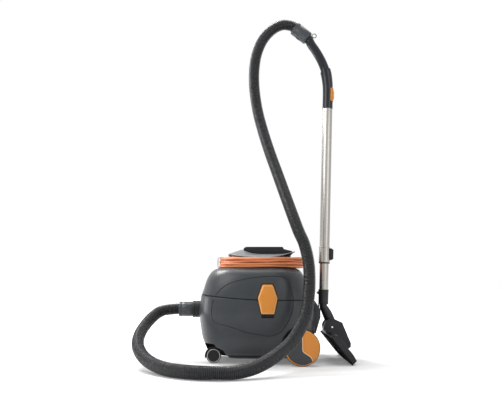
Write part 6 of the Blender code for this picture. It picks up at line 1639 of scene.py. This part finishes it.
# the finish of each small frame part that is only softened, and of each slot
SMALL_PARTS = {
    "power_button": "orange trim", "filter_basket": "filter fleece",
    "exhaust_filter": "filter fleece", "motor_can": "motor metal", "fan_rotor": "motor metal",
    "motor_carrier": "black plastic", "power_switch": "black plastic",
    "bag_collar": "black plastic", "latch_pin_left": "polished steel",
    "latch_pin_right": "polished steel",
}
SLOT_FINISHES = {
    "fleece": "filter fleece", "bristle": "bristles", "soft_grip": "grip rubber",
    "black_plastic": "black plastic", "dock_grey": "dock grey", "steel_tube": "drawn steel",
    "silver_rim": "silver rim", "anthracite_shell": "anthracite shell",
    "hose_plastic": "hose plastic", "orange_trim": "orange trim", "grey_insert": "hub insert",
    "orange_cord": "orange sheath", "motor_can": "motor metal",
    "nozzle_plastic": "nozzle plastic", "chrome": "polished steel", "rubber": "tyre rubber",
    "handle_plastic": "handle gloss",
}


class VACUUM_OT_inner_parts(bpy.types.Operator):
    """Builds the bag and dresses the motor, filters, switch and other parts of the frame"""

    bl_idname = "vacuum.inner_parts"
    bl_label = "Inner and Small Parts"

    def execute(self, context):
        low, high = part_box("dust_bag")
        middle, size = (low + high) / 2, (high - low) / 2
        rows = []
        for share in np.linspace(0.0, 1.0, 15):
            height = low.z + 0.0008 + (high.z - low.z - 0.0016) * share
            swell = 0.8 + 0.19 * math.sin(math.pi * share) ** 0.5
            pleat = 1.0 - 0.03 * math.cos(share * math.tau * 3) ** 2
            rows.append([(middle.x + size.x * swell * pleat * eased(math.cos(a), BAG_POWER),
                          middle.y + size.y * swell * pleat * eased(math.sin(a), BAG_POWER),
                          height) for a in full_turn(96)])
        bag = skinned("dust_bag_fleece", rows)
        rounded(bag, 0.004, 3, 60.0)
        stands_for(bag, "dust_bag", "bag paper", 60.0)
        for name, finish in SMALL_PARTS.items():
            softened(name, finish, sizes().small_edge)
        for name, part in frame["nodes"].items():
            give_finish(part, SLOT_FINISHES[slot_of(name)])
        return {"FINISHED"}


# ---------------------------------------------------------------- panel and registration
STEPS = (
    VACUUM_OT_stage, VACUUM_OT_cuffs, VACUUM_OT_hose, VACUUM_OT_mains_cord, VACUUM_OT_tank,
    VACUUM_OT_hood, VACUUM_OT_latches, VACUUM_OT_rim, VACUUM_OT_rear_wheels, VACUUM_OT_casters,
    VACUUM_OT_tubes, VACUUM_OT_handle, VACUUM_OT_dock, VACUUM_OT_nozzle, VACUUM_OT_inner_parts,
)


class VACUUM_PT_panel(bpy.types.Panel):
    """Sizes, colours and pieces of the vacuum cleaner"""

    bl_idname = "VACUUM_PT_panel"
    bl_label = "Vacuum Cleaner"
    bl_space_type = "VIEW_3D"
    bl_region_type = "UI"
    bl_category = "Vacuum"

    def draw(self, context):
        scene = context.scene
        for group in (scene.vacuum_sizes, scene.vacuum_colours):
            box = self.layout.box()
            for name in group.bl_rna.properties.keys():
                if name not in ("rna_type", "name"):
                    box.prop(group, name)
        column = self.layout.column(align=True)
        for step in STEPS:
            column.operator(step.bl_idname)


CLASSES = (VacuumSizes, VacuumColours, *STEPS, VACUUM_PT_panel)


def register():
    for cls in CLASSES:
        bpy.utils.register_class(cls)
    bpy.types.Scene.vacuum_sizes = bpy.props.PointerProperty(type=VacuumSizes)
    bpy.types.Scene.vacuum_colours = bpy.props.PointerProperty(type=VacuumColours)


def unregister():
    del bpy.types.Scene.vacuum_colours
    del bpy.types.Scene.vacuum_sizes
    for cls in reversed(CLASSES):
        bpy.utils.unregister_class(cls)


def main():
    register()
    for step in STEPS:
        family, name = step.bl_idname.split(".")
        getattr(getattr(bpy.ops, family), name)()


if __name__ == "__main__":
    main()
